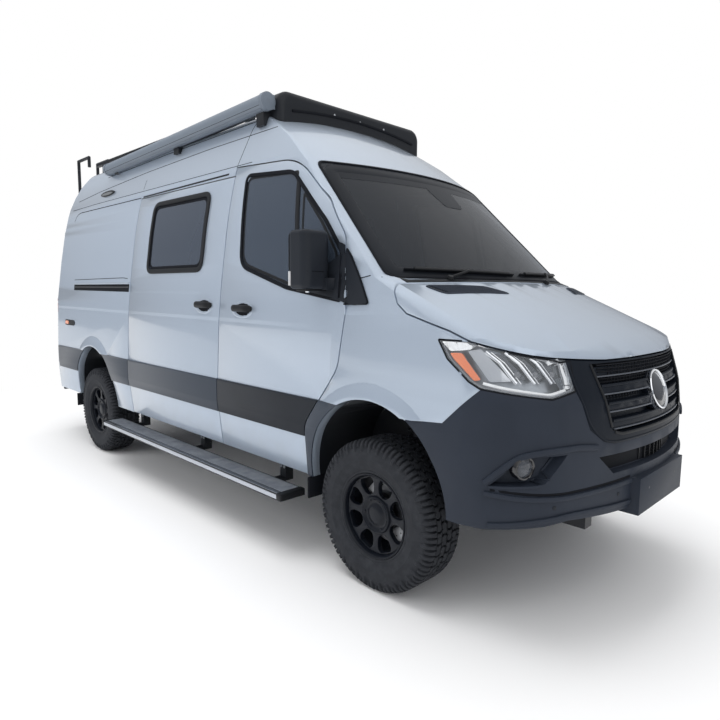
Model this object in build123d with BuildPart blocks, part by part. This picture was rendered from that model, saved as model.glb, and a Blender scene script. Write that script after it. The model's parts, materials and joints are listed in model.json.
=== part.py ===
"""Four-wheel-drive camper van with a high roof, in millimetres.

The van heads along +X and +Y is its left side. The origin lies on the ground, in
the middle of the van's length and width. Outlines are drawn from the front axle.
"""

from math import cos, radians, sin, sqrt

import os

from build123d import *

os.makedirs("parts", exist_ok=True)

# Fits: between door panels, and between pieces that sit against each other
GAP = 8.0
SEAT_GAP = 0.3

# Running gear
WHEELBASE = 3665.0
TRACK = 1720.0
TYRE_RADIUS = 400.0
TYRE_WIDTH = 260.0
RIM_RADIUS = 222.0
RIM_LIP = 10.0
HUB_RADIUS = 75.0
SPOKE_COUNT = 8
KINGPIN_INSET = 60.0
KINGPIN_RADIUS = 22.0
KINGPIN_TOP = 570.0
STUB_RADIUS = 30.0
HUB_BORE = STUB_RADIUS + SEAT_GAP
DISC_RADIUS = 165.0
ARM_HEIGHT = 250.0
ARM_RADIUS = 18.0
ARCH_RADIUS = 470.0
ARCH_TOP = 1015.0
LINER = 6.0
WELL_INNER_FRONT = 500.0
WELL_INNER_REAR = 660.0

# Reach of the whole van ahead of and behind the front axle
NOSE_REACH = 1075.0
REAR_REACH = 4845.0
BODY_REAR = 4727.0
AXLE_F = (REAR_REACH - NOSE_REACH) / 2
AXLE_R = AXLE_F - WHEELBASE

# Body form
WALL = 60.0
GLASS_INSET = 3.0
GLASS_WALL = 6.0
HALF_WIDTH = 1004.0
WAIST_HEIGHT = 800.0
SILL_HALF = 968.0
BODY_BOTTOM = 500.0
ROOF_TOP = 2790.0
ROOF_SHOULDER = (705.0, 2705.0)
ROOF_ROUND = 70.0
BONNET_ROUND = 85.0
REAR_ROUND = 105.0
NOSE_SWEEP = 262.0
NOSE_CORNER = 450.0
SCREEN_RADIUS = 1950.0
PILLAR_ROUND = 35.0
BONNET_SAG = 113.0
FENDER_HALF = 975.0
FENDER_FLARE = 45.0
FENDER_DROP = 420.0

# height, reach of the nose ahead of the front axle
NOSE_LEVELS = ((300, 1000), (600, 1055), (900, 1050), (1080, 1030), (1260, 975), (1700, 800))
# distance ahead of the front axle, height of the bonnet's crown
BONNET_SECTIONS = ((-300, 1876), (217, 1648), (718, 1426), (862, 1350), (940, 1295), (990, 1235), (1100, 1050))
# height, front ahead of the front axle, rear behind it, half width, shares of an inset that the front and rear take
CABIN_LEVELS = (
    (300, 440, BODY_REAR, 1008, 0.7, 1.0),
    (900, 440, BODY_REAR, 1006, 0.7, 1.0),
    (1450, 440, BODY_REAR, 982, 0.7, 1.0),
    (1830, 32, 4718, 933, 0.7, 1.0),
    (2120, -280, 4708, 887, 0.7, 1.0),
    (2300, -473, 4700, 846, 0.8, 1.0),
    (2380, -588, 4690, 824, 1.0, 1.0),
    (2500, -760, 4650, 782, 1.2, 1.1),
    (2600, -930, 4560, 747, 1.2, 1.3),
    (2680, -1080, 4400, 718, 1.2, 1.9),
    (2740, -1220, 4150, 696, 1.2, 3.2),
    (2850, -1480, 3600, 658, 1.2, 5.0),
)

# Openings, seen from the side: distance ahead of the front axle, height, rounding of the corner
DOOR_SPLIT = -1430.0
FRONT_DOOR = (
    (DOOR_SPLIT, BODY_BOTTOM, 0),
    (DOOR_SPLIT, 2372, 0),
    (-757, 2331, 500),
    (-430, 2062, 400),
    (-257, 1850, 120),
    (-205, 1530, 0),
    (-205, 1430, 0),
    (-240, 1150, 200),
    (-505, 800, 200),
    (-515, BODY_BOTTOM, 0),
)
FRONT_WINDOW = (
    (-1275, 2290, 50),
    (-1215, 1716, 90),
    (-717, 1580, 0),
    (-255, 1515, 20),
    (-275, 1760, 25),
    (-431, 1935, 0),
    (-789, 2252, 60),
)
SLIDING_DOOR = (-2865.0, DOOR_SPLIT, BODY_BOTTOM, 2312.0)
SIDE_WINDOW = (-2555.0, -1722.0, 1704.0, 2223.0)
SIDE_WINDOW_ROUND = 70.0
BAND = (735.0, 960.0)
SILL_TOP = 735.0

# Bonnet, bumper, lamps and grille
BONNET_EDGE = ((60, 1720), (102, 1610), (151, 1500), (214, 1454), (461, 1387), (573, 1345), (780, 1290), (930, 1257), (1200, 1257))
BONNET_REAR = (70.0, 300.0)
BUMPER_EDGE = ((240, 955), (457, 975), (643, 1155), (1200, 1155))
LAMP_TURN = 45.0

# Headlamp outline on the plane square to the front corner: distance across it towards the middle, height
LAMP_OUTLINE = (
    (-402, 1344), (-281, 1345), (150, 1300), (172, 1138), (59, 1112), (-148, 1137), (-242, 1150), (-286, 1177), (-368, 1266),
)
GRILLE_OUTLINE = ((672, 1290), (672, 1254), (662, 1155), (599, 966), (516, 904), (442, 888))
GRILLE_OPENING = ((533, 1246), (455, 948), (400, 930))
GRILLE_BARS = 4
BAR_HEIGHT = 44.0
BAR_RECESS = 12.0
POCKET_DEPTH = 42.0
EMBLEM_PLACE = (1088.0, 102.0)
FOG_RECESS = ((-968, 735), (-900, 868), (-728, 872), (-820, 752))
INTAKE = ((545, 838), (444, 750))
PLATE_BLOCK = (300.0, 530.0, 705.0)
BUMPER_UNDERCUT = ((400, 440), (400, 520), (540, 520), (870, 562), (925, 578), (1030, 556), (1200, 556), (1200, 440))

# Windscreen and rear doors, seen from the front: distance from the middle, height
SCREEN = ((792, 2302), (902, 1622))
REAR_DOOR_HALF = 872.0
REAR_DOOR = ((0, 625), (REAR_DOOR_HALF, 625), (REAR_DOOR_HALF, 1500), (700, 2400), (0, 2400))
REAR_WINDOW = ((110, 1560), (790, 1560), (690, 2150), (110, 2150))
REAR_WINDOW_ROUND = 60.0
REAR_FACE = (-4900.0, -4550.0)
TAIL_LAMP = (-4900.0, -4660.0, 985.0, 1520.0)
TAIL_LAMP_HALF = 892.0

# Black piece at the foot of each front door's window
SAIL = ((-620, 1568), (-262, 1514), (-275, 1750))

# Hinge pins in the door gaps: distance ahead of the front axle and from the middle, lowest and highest point
FRONT_HINGES = ((-205.0, 981.0, 1435.0, 1525.0),)
REAR_HINGES = ((-4729.0, REAR_DOOR_HALF, 700.0, 790.0), (-4729.0, REAR_DOOR_HALF, 1360.0, 1450.0))
BUFFER_RADIUS = 12.0
BUFFERS = (890.0, 450.0)

# Floor and frame
FLOOR = (-4660.0, -480.0, 560.0, 600.0)
RAIL_HALF_GAP = 400.0
RAIL_WIDTH = 70.0
RAIL_HEIGHT = 100.0
FIREWALL_X = 20.0
FIREWALL_WALL = 30.0
FIREWALL_TOP = 1420.0
RAIL_FRONT = 900.0

# Outside fittings
CLADDING = 8.0
STRIP_REAR = -4610.0
FLARE_HALF = 1022.0
FLARE_WIDTH = 125.0
FLARE_FOOT = 960.0
BOARD = (-3230.0, -600.0, 345.0, 385.0)
BOARD_HALF = (925.0, 1105.0)
# rear and front end of the awning case's axis: distance ahead of the front axle, height
AWNING_AXIS = ((-3735.0, 2680.0), (-1165.0, 2758.0))
AWNING_ACROSS = 757.0
AWNING_RADIUS = 52.0
AWNING_CAP = (57.0, 34.0)
AWNING_FOOT = 2620.0
AWNING_SEAT = 700.0
AWNING_BRACKET_HALF = 40.0
AWNING_FLAT = 46.0
BOARD_ARMS = (-900.0, -1900.0, -2950.0)
ARM_HALF = (800.0, 860.0)
AWNING_BRACKETS = (-3560.0, -2400.0, -1260.0)
# roof fairing: rear and front face, half width, lowest point and top
FAIRING = (-1360.0, -1120.0, 700.0, 2640.0, 2845.0)
FAIRING_ROUND = 45.0
FAIRING_WALL = 8.0
RACK_HALF = 600.0
RACK_SPAN = (-4400.0, -1450.0)
RACK_BAR = (50.0, 30.0)
RACK_RAIL_WIDTH = 40.0
RACK_FOOT = (70.0, 2600.0)
RACK_TOP = 2850.0
RACK_BARS = (-4200.0, -3000.0, -1600.0)
UNIT_SPAN = (-4060.0, -3200.0)
UNIT_HALF = 330.0
UNIT_TOP = 2975.0
REAR_BAR = (-4812.0, 930.0, 460.0, 600.0)
REAR_BAR_ROUND = 60.0
HITCH_PLATE = (-4800.0, -4615.0, 420.0)
RECEIVER_FRONT = 4660.0
RECEIVER_HEIGHT = 450.0
RECEIVER_END = 4840.0
RECEIVER_HALF = 32.0
RECEIVER_BORE_HALF = 25.5
RECEIVER_PIN = 4825.0
PIN_RADIUS = 8.0
LADDER_RADIUS = 16.0
STAY_RADIUS = 11.0
STEP_RADIUS = 13.0
LADDER_RAILS = (800.0, 440.0)
LADDER_UPPER_RAILS = (640.0, 440.0)
LADDER_BEND = 2150.0
LADDER_FOOT = 1000.0
LADDER_TOP = 2935.0
LADDER_HOOK = 300.0
# count, height of the lowest, rise from each to the next
LADDER_STEPS = (4, 1050.0, 300.0)
MIRROR = ((-480.0, -1150.0, 1565.0), (-325.0, -965.0, 1872.0))
MIRROR_ROUND = (48.0, 26.0)
MIRROR_ARM = ((-430.0, -1020.0, 1560.0), (-300.0, -925.0, 1625.0))
HANDLE = ((-1280.0, -1030.0, 1408.0), (-1050.0, -940.0, 1462.0))
HANDLE_ROUND = 20.0

# Inside, seen from the side
DASH_OUTLINE = ((-10.3, 1035), (-10.3, 1480), (-200, 1470), (-430, 1385), (-480, 1250), (-430, 1060))
SEAT_HALF = 420.0
SEAT_OUTLINE = (
    (-1330, 600.3), (-850, 600.3), (-850, 860), (-790, 920), (-820, 1010), (-1180, 980), (-1290, 1500), (-1280, 1640),
    (-1380, 1660), (-1420, 1480), (-1330, 960),
)


def side_plane():
    """Drawn x is ahead of the front axle and y is height, as seen from the right."""
    return Plane(origin=(AXLE_F, 0, 0), x_dir=(1, 0, 0), z_dir=(0, -1, 0))


def cross_plane(ahead):
    """Drawn x is to the left and y is height, looking back at the van."""
    return Plane(origin=(AXLE_F + ahead, 0, 0), x_dir=(0, 1, 0), z_dir=(1, 0, 0))


def level_plane(height):
    """Drawn x is ahead of the front axle and y is to the left."""
    return Plane(origin=(AXLE_F, 0, height))


def nose_form(inset):
    """The nose, bonnet and front wings as one closed form, moved inwards by the inset."""
    half = HALF_WIDTH + 2 - inset
    with BuildPart() as nose:
        for height, reach in NOSE_LEVELS:
            swept = reach - NOSE_SWEEP - inset
            with BuildSketch(level_plane(height)) as outline:
                with BuildLine():
                    front = ThreePointArc((swept, -half), (reach - inset, 0), (swept, half))
                    Polyline(front @ 1, (-600, half), (-600, -half), front @ 0)
                make_face()
                fillet(outline.vertices().group_by(Axis.X)[-1], NOSE_CORNER - inset)
        loft(ruled=True)
    with BuildPart() as bonnet_block:
        for ahead, crown in BONNET_SECTIONS:
            edge = crown - BONNET_SAG - inset
            half = FENDER_HALF - inset
            foot = half + FENDER_FLARE
            with BuildSketch(cross_plane(ahead)) as outline:
                with BuildLine():
                    top = ThreePointArc((-half, edge), (0, crown - inset), (half, edge))
                    Polyline(
                        top @ 1, (foot, edge - FENDER_DROP), (foot, 0), (-foot, 0), (-foot, edge - FENDER_DROP), top @ 0
                    )
                make_face()
                fillet(outline.vertices().group_by(Axis.Y)[-1], BONNET_ROUND - inset)
        loft(ruled=True)
    with BuildPart() as form:
        add(nose.part)
        add(bonnet_block.part, mode=Mode.INTERSECT)
    return form.part


def cabin_form(inset):
    """The screen, roof front and rear end as one closed form, moved inwards by the inset."""
    with BuildPart() as cabin:
        for height, front_end, rear_end, half_width, front_share, rear_share in CABIN_LEVELS:
            ahead = front_end - inset * front_share
            behind = inset * rear_share - rear_end
            half = half_width - inset
            swept = ahead - SCREEN_RADIUS + sqrt(SCREEN_RADIUS**2 - half**2)
            with BuildSketch(level_plane(height)) as outline:
                with BuildLine():
                    screen = ThreePointArc((swept, -half), (ahead, 0), (swept, half))
                    Polyline(screen @ 1, (behind, half), (behind, -half), screen @ 0)
                make_face()
                fillet(outline.vertices().group_by(Axis.X)[0], REAR_ROUND - inset)
                if inset < PILLAR_ROUND:
                    fillet(outline.vertices().group_by(Axis.X)[-1], PILLAR_ROUND - inset)
        loft(ruled=True)
    return cabin.part


def section_form(inset):
    """The body's cross section, with the sides' curve and the roof's crown, along its whole length."""
    bottom = BODY_BOTTOM - 2 * max(inset, 0)
    with BuildPart() as form:
        with BuildSketch(cross_plane(-REAR_REACH)) as section:
            with BuildLine():
                Polyline((0, bottom), (SILL_HALF, bottom), (HALF_WIDTH, WAIST_HEIGHT))
                ThreePointArc((HALF_WIDTH, WAIST_HEIGHT), (980, 1420), (929, 1830))
                ThreePointArc((929, 1830), (883, 2120), (820, 2380))
                Line((820, 2380), ROOF_SHOULDER)
                ThreePointArc(ROOF_SHOULDER, (360, 2768), (0, ROOF_TOP))
                mirror(about=Plane.YZ)
            make_face()
            fillet(section.vertices().filter_by(lambda v: abs(v.Y - ROOF_SHOULDER[1]) < 1), ROOF_ROUND)
            if inset:
                offset(amount=-inset)
        extrude(amount=REAR_REACH + NOSE_REACH)
    return form.part


def body_form(inset):
    """The van's closed outer form, moved inwards by the inset all round."""
    with BuildPart() as form:
        add(nose_form(inset))
        add(cabin_form(inset))
        add(section_form(inset), mode=Mode.INTERSECT)
    return form.part


def front_form(inset):
    """The nose alone, which is all that the grille's and bumper's recesses need."""
    with BuildPart() as form:
        add(nose_form(inset))
        add(section_form(inset), mode=Mode.INTERSECT)
        add(block((300, -1100, 300), (1200, 1100, 1500)), mode=Mode.INTERSECT)
    return form.part


def side_zone(points, start=0.0, end=1300.0, grow=0.0, rounding=0.0):
    """A prism seen from the right, between two distances to the right of the middle.

    A point may carry the rounding of its own corner as a third value.
    """
    with BuildPart() as zone:
        with BuildSketch(side_plane().offset(start)) as outline:
            with BuildLine():
                Polyline(*(point[:2] for point in points), close=True)
            make_face()
            for ahead, height, *own in points:
                if own and own[0]:
                    fillet(outline.vertices().sort_by_distance((ahead, height, 0))[0], own[0])
            if rounding:
                fillet(outline.vertices(), rounding)
            if grow:
                offset(amount=grow, kind=Kind.INTERSECTION)
        extrude(amount=end - start)
    return zone.part


def front_zone(points, start, end, grow=0.0, rounding=0.0):
    """A prism seen from the front, between two distances ahead of the front axle."""
    with BuildPart() as zone:
        with BuildSketch(cross_plane(start)) as outline:
            with BuildLine():
                Polyline(*points, close=True)
            make_face()
            if rounding:
                fillet(outline.vertices(), rounding)
            if grow:
                offset(amount=grow, kind=Kind.INTERSECTION)
        extrude(amount=end - start)
    return zone.part


def rectangle(low_x, high_x, low_z, high_z):
    return ((low_x, low_z), (high_x, low_z), (high_x, high_z), (low_x, high_z))


def both_sides(points):
    """Half an outline closed by its mirror image."""
    return tuple(points) + tuple((-across, height) for across, height in reversed(points) if across)


def block(low, high):
    """A box between two corners given ahead of the front axle, to the left and up."""
    with BuildPart(Location((AXLE_F, 0, 0))) as solid:
        with Locations(tuple((a + b) / 2 for a, b in zip(low, high))):
            Box(*(b - a for a, b in zip(low, high)))
    return solid.part


def rod(start, end, radius):
    """A round bar between two points given ahead of the front axle, to the left and up."""
    first, last = Vector(*start) + Vector(AXLE_F, 0, 0), Vector(*end) + Vector(AXLE_F, 0, 0)
    with BuildPart() as bar:
        with BuildSketch(Plane(origin=first, z_dir=last - first)):
            Circle(radius)
        extrude(amount=(last - first).length)
    return bar.part


def left(shape):
    """The other side's copy of a shape made for the right."""
    return mirror(shape, about=Plane.XZ, mode=Mode.PRIVATE)


def finish(part, name, solids=1):
    part.label = name
    found = len(part.solids())
    print(name, found, round(part.volume / 1e6, 2), "" if found == solids else f"EXPECTED {solids}")
    export_step(part, f"parts/{name}.step")


def wheel_zone(ahead, radius, inner, outer=1300.0):
    """A drum round a wheel, on the right."""
    with BuildPart() as zone:
        with BuildSketch(side_plane().offset(inner)):
            with Locations((ahead, ARCH_TOP - ARCH_RADIUS)):
                Circle(radius)
        extrude(amount=outer - inner)
    return zone.part


def flare(ahead):
    """The swelling round a wheel arch, on the right."""
    with BuildPart() as ring:
        with BuildSketch(Plane(origin=(AXLE_F + ahead, 0, ARCH_TOP - ARCH_RADIUS), x_dir=(0, 0, 1), z_dir=(1, 0, 0))):
            with BuildLine():
                Polyline(
                    (ARCH_RADIUS + FLARE_WIDTH, HALF_WIDTH - 18), (ARCH_RADIUS + FLARE_WIDTH, FLARE_FOOT),
                    (ARCH_RADIUS - 4, FLARE_FOOT), (ARCH_RADIUS - 4, FLARE_HALF), (ARCH_RADIUS + 12, FLARE_HALF),
                )
                ThreePointArc(
                    (ARCH_RADIUS + 12, FLARE_HALF),
                    (ARCH_RADIUS + FLARE_WIDTH / 2, HALF_WIDTH + 4),
                    (ARCH_RADIUS + FLARE_WIDTH, HALF_WIDTH - 18),
                )
            make_face()
        revolve(axis=Axis((AXLE_F + ahead, 0, ARCH_TOP - ARCH_RADIUS), (0, 1, 0)))
        split(bisect_by=Plane(origin=(0, 0, BAND[1]), z_dir=(0, 0, 1)), keep=Keep.TOP)
    return left(ring.part)


# Forms and zones that many pieces share
outer = body_form(0)
outer_nose = front_form(0)
inner = body_form(WALL)
seat = body_form(WALL + SEAT_GAP)
glass_form = body_form(GLASS_INSET)
behind_glass = body_form(GLASS_INSET + GLASS_WALL)
recess_form = front_form(BAR_RECESS)
proud_form = body_form(-CLADDING)
pocket_form = front_form(POCKET_DEPTH)
AXLES = (0.0, -WHEELBASE)

with BuildPart() as skin:
    add(outer)
    add(inner, mode=Mode.SUBTRACT)
    for ahead in AXLES:
        add(flare(ahead))
        add(left(flare(ahead)))
    for ahead in AXLES:
        drum = wheel_zone(ahead, ARCH_RADIUS, WELL_INNER_FRONT)
        add(drum, mode=Mode.SUBTRACT)
        add(left(drum), mode=Mode.SUBTRACT)

with BuildPart() as pane:
    add(glass_form)
    add(behind_glass, mode=Mode.SUBTRACT)

half_gap = GAP / 2
front_window = side_zone(FRONT_WINDOW, 700)
side_window = side_zone(rectangle(*SIDE_WINDOW), 700, rounding=SIDE_WINDOW_ROUND)
screen_zone = front_zone(both_sides(SCREEN), -650, 450, rounding=40)
bumper_zone = side_zone(BUMPER_EDGE + ((1200, 0), (BUMPER_EDGE[0][0], 0)), -1300)
grille_zone = front_zone(both_sides(GRILLE_OUTLINE), 700, 1200)


def zone_of_bonnet(grow=0.0):
    points = BONNET_EDGE + ((1200, 2000), (60, 2000))
    side_x, centre_x = BONNET_REAR
    with BuildPart() as zone:
        add(side_zone(points, -1300, grow=grow))
        with BuildSketch(level_plane(0)):
            with BuildLine():
                rear = ThreePointArc((side_x - grow, -1000), (centre_x - grow, 0), (side_x - grow, 1000))
                Polyline(rear @ 1, (side_x - grow, 1300), (1300, 1300), (1300, -1300), (side_x - grow, -1300), rear @ 0)
            make_face()
        extrude(amount=2200, mode=Mode.INTERSECT)
    return zone.part


def zone_of_lamp(grow=0.0):
    """The prism through the right front corner that the headlamp wraps round."""
    turn = radians(LAMP_TURN)
    corner = Plane(origin=(AXLE_F, 0, 0), x_dir=(sin(turn), cos(turn), 0), z_dir=(cos(turn), -sin(turn), 0))
    with BuildPart() as zone:
        with BuildSketch(corner):
            with BuildLine():
                Polyline(*LAMP_OUTLINE, close=True)
            make_face()
            if grow:
                offset(amount=grow, kind=Kind.INTERSECTION)
        extrude(amount=2000)
    return zone.part


def hinge_pin(ahead, across, low, high, leaf):
    """A pin in a door gap on the right, with its leaf towards the fixed panel."""
    radius = half_gap - SEAT_GAP
    leaf_x, leaf_y = leaf
    with BuildPart() as pin:
        add(rod((ahead, -across, low), (ahead, -across, high), radius))
        add(
            block(
                (min(ahead, ahead + leaf_x) - radius * (leaf_x == 0), -across + min(0, leaf_y) - radius * (leaf_y == 0), low),
                (max(ahead, ahead + leaf_x) + radius * (leaf_x == 0), -across + max(0, leaf_y) + radius * (leaf_y == 0), high),
            )
        )
    return pin.part


def zone_of_tail(grow=0.0):
    back, front, low, high = TAIL_LAMP
    return block((back, -1100, low - grow), (front + grow, grow - TAIL_LAMP_HALF, high + grow))


# Body shell
front_door_out = side_zone(FRONT_DOOR, 720, grow=half_gap)
sliding_out = side_zone(rectangle(*SLIDING_DOOR), 720, grow=half_gap)
rear_door_out = front_zone(both_sides(REAR_DOOR), *REAR_FACE, grow=half_gap)
with BuildPart() as body_shell:
    add(skin.part)
    for zone in (front_door_out, left(front_door_out), sliding_out, rear_door_out, zone_of_bonnet(half_gap)):
        add(zone, mode=Mode.SUBTRACT)
    for zone in (zone_of_lamp(SEAT_GAP), left(zone_of_lamp(SEAT_GAP)), screen_zone, left(side_window)):
        add(zone, mode=Mode.SUBTRACT)
    add(front_zone(both_sides(GRILLE_OUTLINE), 700, 1200, grow=SEAT_GAP), mode=Mode.SUBTRACT)
    add(side_zone(BUMPER_EDGE + ((1200, 0), (BUMPER_EDGE[0][0], 0)), -1300, grow=SEAT_GAP), mode=Mode.SUBTRACT)
    for zone in (zone_of_tail(SEAT_GAP), left(zone_of_tail(SEAT_GAP))):
        add(zone, mode=Mode.SUBTRACT)
    for places, leaf in ((FRONT_HINGES, (half_gap + 1, 0)), (REAR_HINGES, (0, -half_gap - 1))):
        for place in places:
            pin = hinge_pin(*place, leaf)
            add(pin)
            add(left(pin))
finish(body_shell.part, "body_shell")


def panel(zone, *openings):
    """The piece of the body's skin inside a zone, without its openings."""
    with BuildPart() as piece:
        add(skin.part)
        add(zone, mode=Mode.INTERSECT)
        for opening in openings:
            add(opening, mode=Mode.SUBTRACT)
    return piece.part


def glass(opening_points, zone_maker, rounding):
    with BuildPart() as piece:
        add(pane.part)
        add(zone_maker(opening_points, rounding), mode=Mode.INTERSECT)
    return piece.part


def side_glass(points, rounding):
    return side_zone(points, 700, grow=-SEAT_GAP, rounding=rounding)


# Side doors
front_door = panel(side_zone(FRONT_DOOR, 720, grow=-half_gap), front_window)
sliding_door = panel(side_zone(rectangle(*SLIDING_DOOR), 720, grow=-half_gap), side_window)
front_glass = glass(FRONT_WINDOW, side_glass, 0)
side_glass_right = glass(rectangle(*SIDE_WINDOW), side_glass, SIDE_WINDOW_ROUND)
finish(front_door, "front_door_right")
finish(left(front_door), "front_door_left")
finish(front_glass, "front_glass_right")
finish(left(front_glass), "front_glass_left")
finish(sliding_door, "sliding_door")
with BuildPart() as side_glazing:
    add(side_glass_right)
    add(left(side_glass_right))
finish(side_glazing.part, "side_windows", 2)


def screen_glass(points, rounding):
    return front_zone(points, -650, 450, grow=-SEAT_GAP, rounding=rounding)


finish(glass(both_sides(SCREEN), screen_glass, 40), "windscreen")

# Rear doors
right_rear_zone = front_zone(tuple((-across, height) for across, height in REAR_DOOR), *REAR_FACE, grow=-half_gap)
rear_opening = front_zone(tuple((-across, height) for across, height in REAR_WINDOW), *REAR_FACE, rounding=REAR_WINDOW_ROUND)
rear_door = panel(right_rear_zone, rear_opening)
with BuildPart() as rear_glass:
    add(pane.part)
    add(
        front_zone(
            tuple((-across, height) for across, height in REAR_WINDOW), *REAR_FACE, grow=-SEAT_GAP, rounding=REAR_WINDOW_ROUND
        ),
        mode=Mode.INTERSECT,
    )
finish(rear_door, "rear_door_right")
finish(left(rear_door), "rear_door_left")
finish(rear_glass.part, "rear_glass_right")
finish(left(rear_glass.part), "rear_glass_left")

# Bonnet
finish(panel(zone_of_bonnet(-half_gap)), "bonnet")

# Nose: grille, headlamps and bumper
inner_nose = front_form(WALL)
grille_opening = front_zone(both_sides(GRILLE_OPENING), 700, 1200)


def layer(behind, zone, *kept):
    """What lies between the nose's face and a form behind it, inside a zone and outside what is kept."""
    with BuildPart() as slab:
        add(outer_nose)
        add(behind, mode=Mode.SUBTRACT)
        add(zone, mode=Mode.INTERSECT)
        for shape in kept:
            add(shape, mode=Mode.SUBTRACT)
    return slab.part


def grille_bars():
    low, high = GRILLE_OPENING[-1][1], GRILLE_OPENING[0][1]
    pitch = (high - low) / GRILLE_BARS
    bars = []
    for bar in range(GRILLE_BARS):
        middle = low + pitch * (bar + 0.5)
        bars.append(block((600, -700, middle - BAR_HEIGHT / 2), (1200, 700, middle + BAR_HEIGHT / 2)))
    return bars


emblem_height, emblem_radius = EMBLEM_PLACE
emblem_drum = rod((600, 0, emblem_height), (1200, 0, emblem_height), emblem_radius)
with BuildPart() as grille:
    add(panel(grille_zone, zone_of_bonnet(half_gap)))
    add(layer(recess_form, grille_opening), mode=Mode.SUBTRACT)
    add(layer(pocket_form, grille_opening, emblem_drum, *grille_bars()), mode=Mode.SUBTRACT)
    buffer_x, buffer_y = BUFFERS
    (seam_rear_x, seam_rear_z), (seam_front_x, seam_front_z) = BONNET_EDGE[-3:-1]
    seam_slope = (seam_front_z - seam_rear_z) / (seam_front_x - seam_rear_x)
    seam_height = seam_rear_z + (buffer_x + BUFFER_RADIUS - seam_rear_x) * seam_slope
    for side in (-1, 1):
        top = seam_height + half_gap - SEAT_GAP
        add(rod((buffer_x, side * buffer_y, seam_height - 30), (buffer_x, side * buffer_y, top), BUFFER_RADIUS))
finish(grille.part, "grille")

grille_keep_out = front_zone(both_sides(GRILLE_OUTLINE), 700, 1200, grow=SEAT_GAP)
lamp = panel(zone_of_lamp(), grille_keep_out, zone_of_bonnet(half_gap))
with BuildPart() as headlamps:
    add(lamp)
    add(left(lamp))
finish(headlamps.part, "headlamps", 2)

fog_place = front_zone(FOG_RECESS, 400, 1200)
intake_place = front_zone(both_sides(INTAKE), 700, 1200)
plate_half, plate_low, plate_high = PLATE_BLOCK
with BuildPart() as front_bumper:
    add(panel(bumper_zone, grille_keep_out, zone_of_lamp(SEAT_GAP), left(zone_of_lamp(SEAT_GAP))))
    add(side_zone(BUMPER_UNDERCUT, -1300), mode=Mode.SUBTRACT)
    for place in (fog_place, left(fog_place), intake_place):
        add(layer(pocket_form, place), mode=Mode.SUBTRACT)
    add(block((980, -plate_half, plate_low), (NOSE_REACH, plate_half, plate_high)))
    add(inner_nose, mode=Mode.SUBTRACT)
finish(front_bumper.part, "front_bumper")

# Floor, frame and wheel wells
def wheel_well(ahead, inner_wall):
    """The closed drum that a wheel well's liner is hollowed from, on the right."""
    with BuildPart() as well:
        add(wheel_zone(ahead, ARCH_RADIUS + LINER, inner_wall - LINER))
        add(block((ahead - 600, -1100, BODY_BOTTOM), (ahead + 600, 0, 1200)), mode=Mode.INTERSECT)
    return well.part


floor_low_x, floor_high_x, floor_bottom, floor_top = FLOOR
with BuildPart() as chassis:
    add(block((floor_low_x, -1000, floor_bottom), (floor_high_x, 1000, floor_top)))
    add(block((floor_high_x, -WELL_INNER_FRONT + LINER, floor_bottom), (FIREWALL_X, WELL_INNER_FRONT - LINER, floor_top)))
    add(block((FIREWALL_X - FIREWALL_WALL, -WELL_INNER_FRONT + LINER, floor_bottom), (FIREWALL_X, WELL_INNER_FRONT - LINER, FIREWALL_TOP)))
    add(block((FIREWALL_X - FIREWALL_WALL, -1000, ARCH_TOP + LINER - 4), (FIREWALL_X, 1000, FIREWALL_TOP)))
    for ahead, inner_wall in ((0.0, WELL_INNER_FRONT), (-WHEELBASE, WELL_INNER_REAR)):
        hollow = wheel_zone(ahead, ARCH_RADIUS, inner_wall)
        for shape in (wheel_well(ahead, inner_wall), left(wheel_well(ahead, inner_wall))):
            add(shape)
        for shape in (hollow, left(hollow)):
            add(shape, mode=Mode.SUBTRACT)
    add(seat, mode=Mode.INTERSECT)
    for side in (-1, 1):
        add(
            block((DOOR_SPLIT - 10, side * 960 - 50, floor_bottom), (floor_high_x, side * 960 + 50, floor_top)),
            mode=Mode.SUBTRACT,
        )
    for side in (-1, 1):
        middle = side * (RAIL_HALF_GAP + RAIL_WIDTH / 2)
        low_y, high_y = middle - RAIL_WIDTH / 2, middle + RAIL_WIDTH / 2
        rail_bottom = floor_bottom - RAIL_HEIGHT
        add(block((floor_low_x + 40, low_y, rail_bottom), (RAIL_FRONT, high_y, floor_bottom - SEAT_GAP)))
finish(chassis.part, "chassis", 3)


# Outside fittings on the body
with BuildPart() as proud_layer:
    add(proud_form)
    add(outer, mode=Mode.SUBTRACT)
    for ahead in AXLES:
        drum = wheel_zone(ahead, ARCH_RADIUS, 0)
        add(drum, mode=Mode.SUBTRACT)
        add(left(drum), mode=Mode.SUBTRACT)
band_low, band_high = BAND


def cladding_strip(low_x, high_x):
    with BuildPart() as strip:
        add(proud_layer.part)
        add(side_zone(rectangle(low_x, high_x, band_low, band_high), 720), mode=Mode.INTERSECT)
    return strip.part


with BuildPart() as wing_foot:
    add(proud_layer.part)
    add(block((DOOR_SPLIT, -1300, BODY_BOTTOM), (-100, 0, band_high)), mode=Mode.INTERSECT)
    add(front_door_out, mode=Mode.SUBTRACT)
sliding_low, sliding_high = SLIDING_DOOR[0], SLIDING_DOOR[1]
with BuildPart() as cladding:
    add(wing_foot.part)
    add(left(wing_foot.part))
    add(cladding_strip(STRIP_REAR, sliding_low - half_gap))
    add(cladding_strip(sliding_low + half_gap, sliding_high - half_gap))
    add(left(cladding_strip(STRIP_REAR, DOOR_SPLIT - half_gap)))
finish(cladding.part, "cladding", 7)

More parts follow.
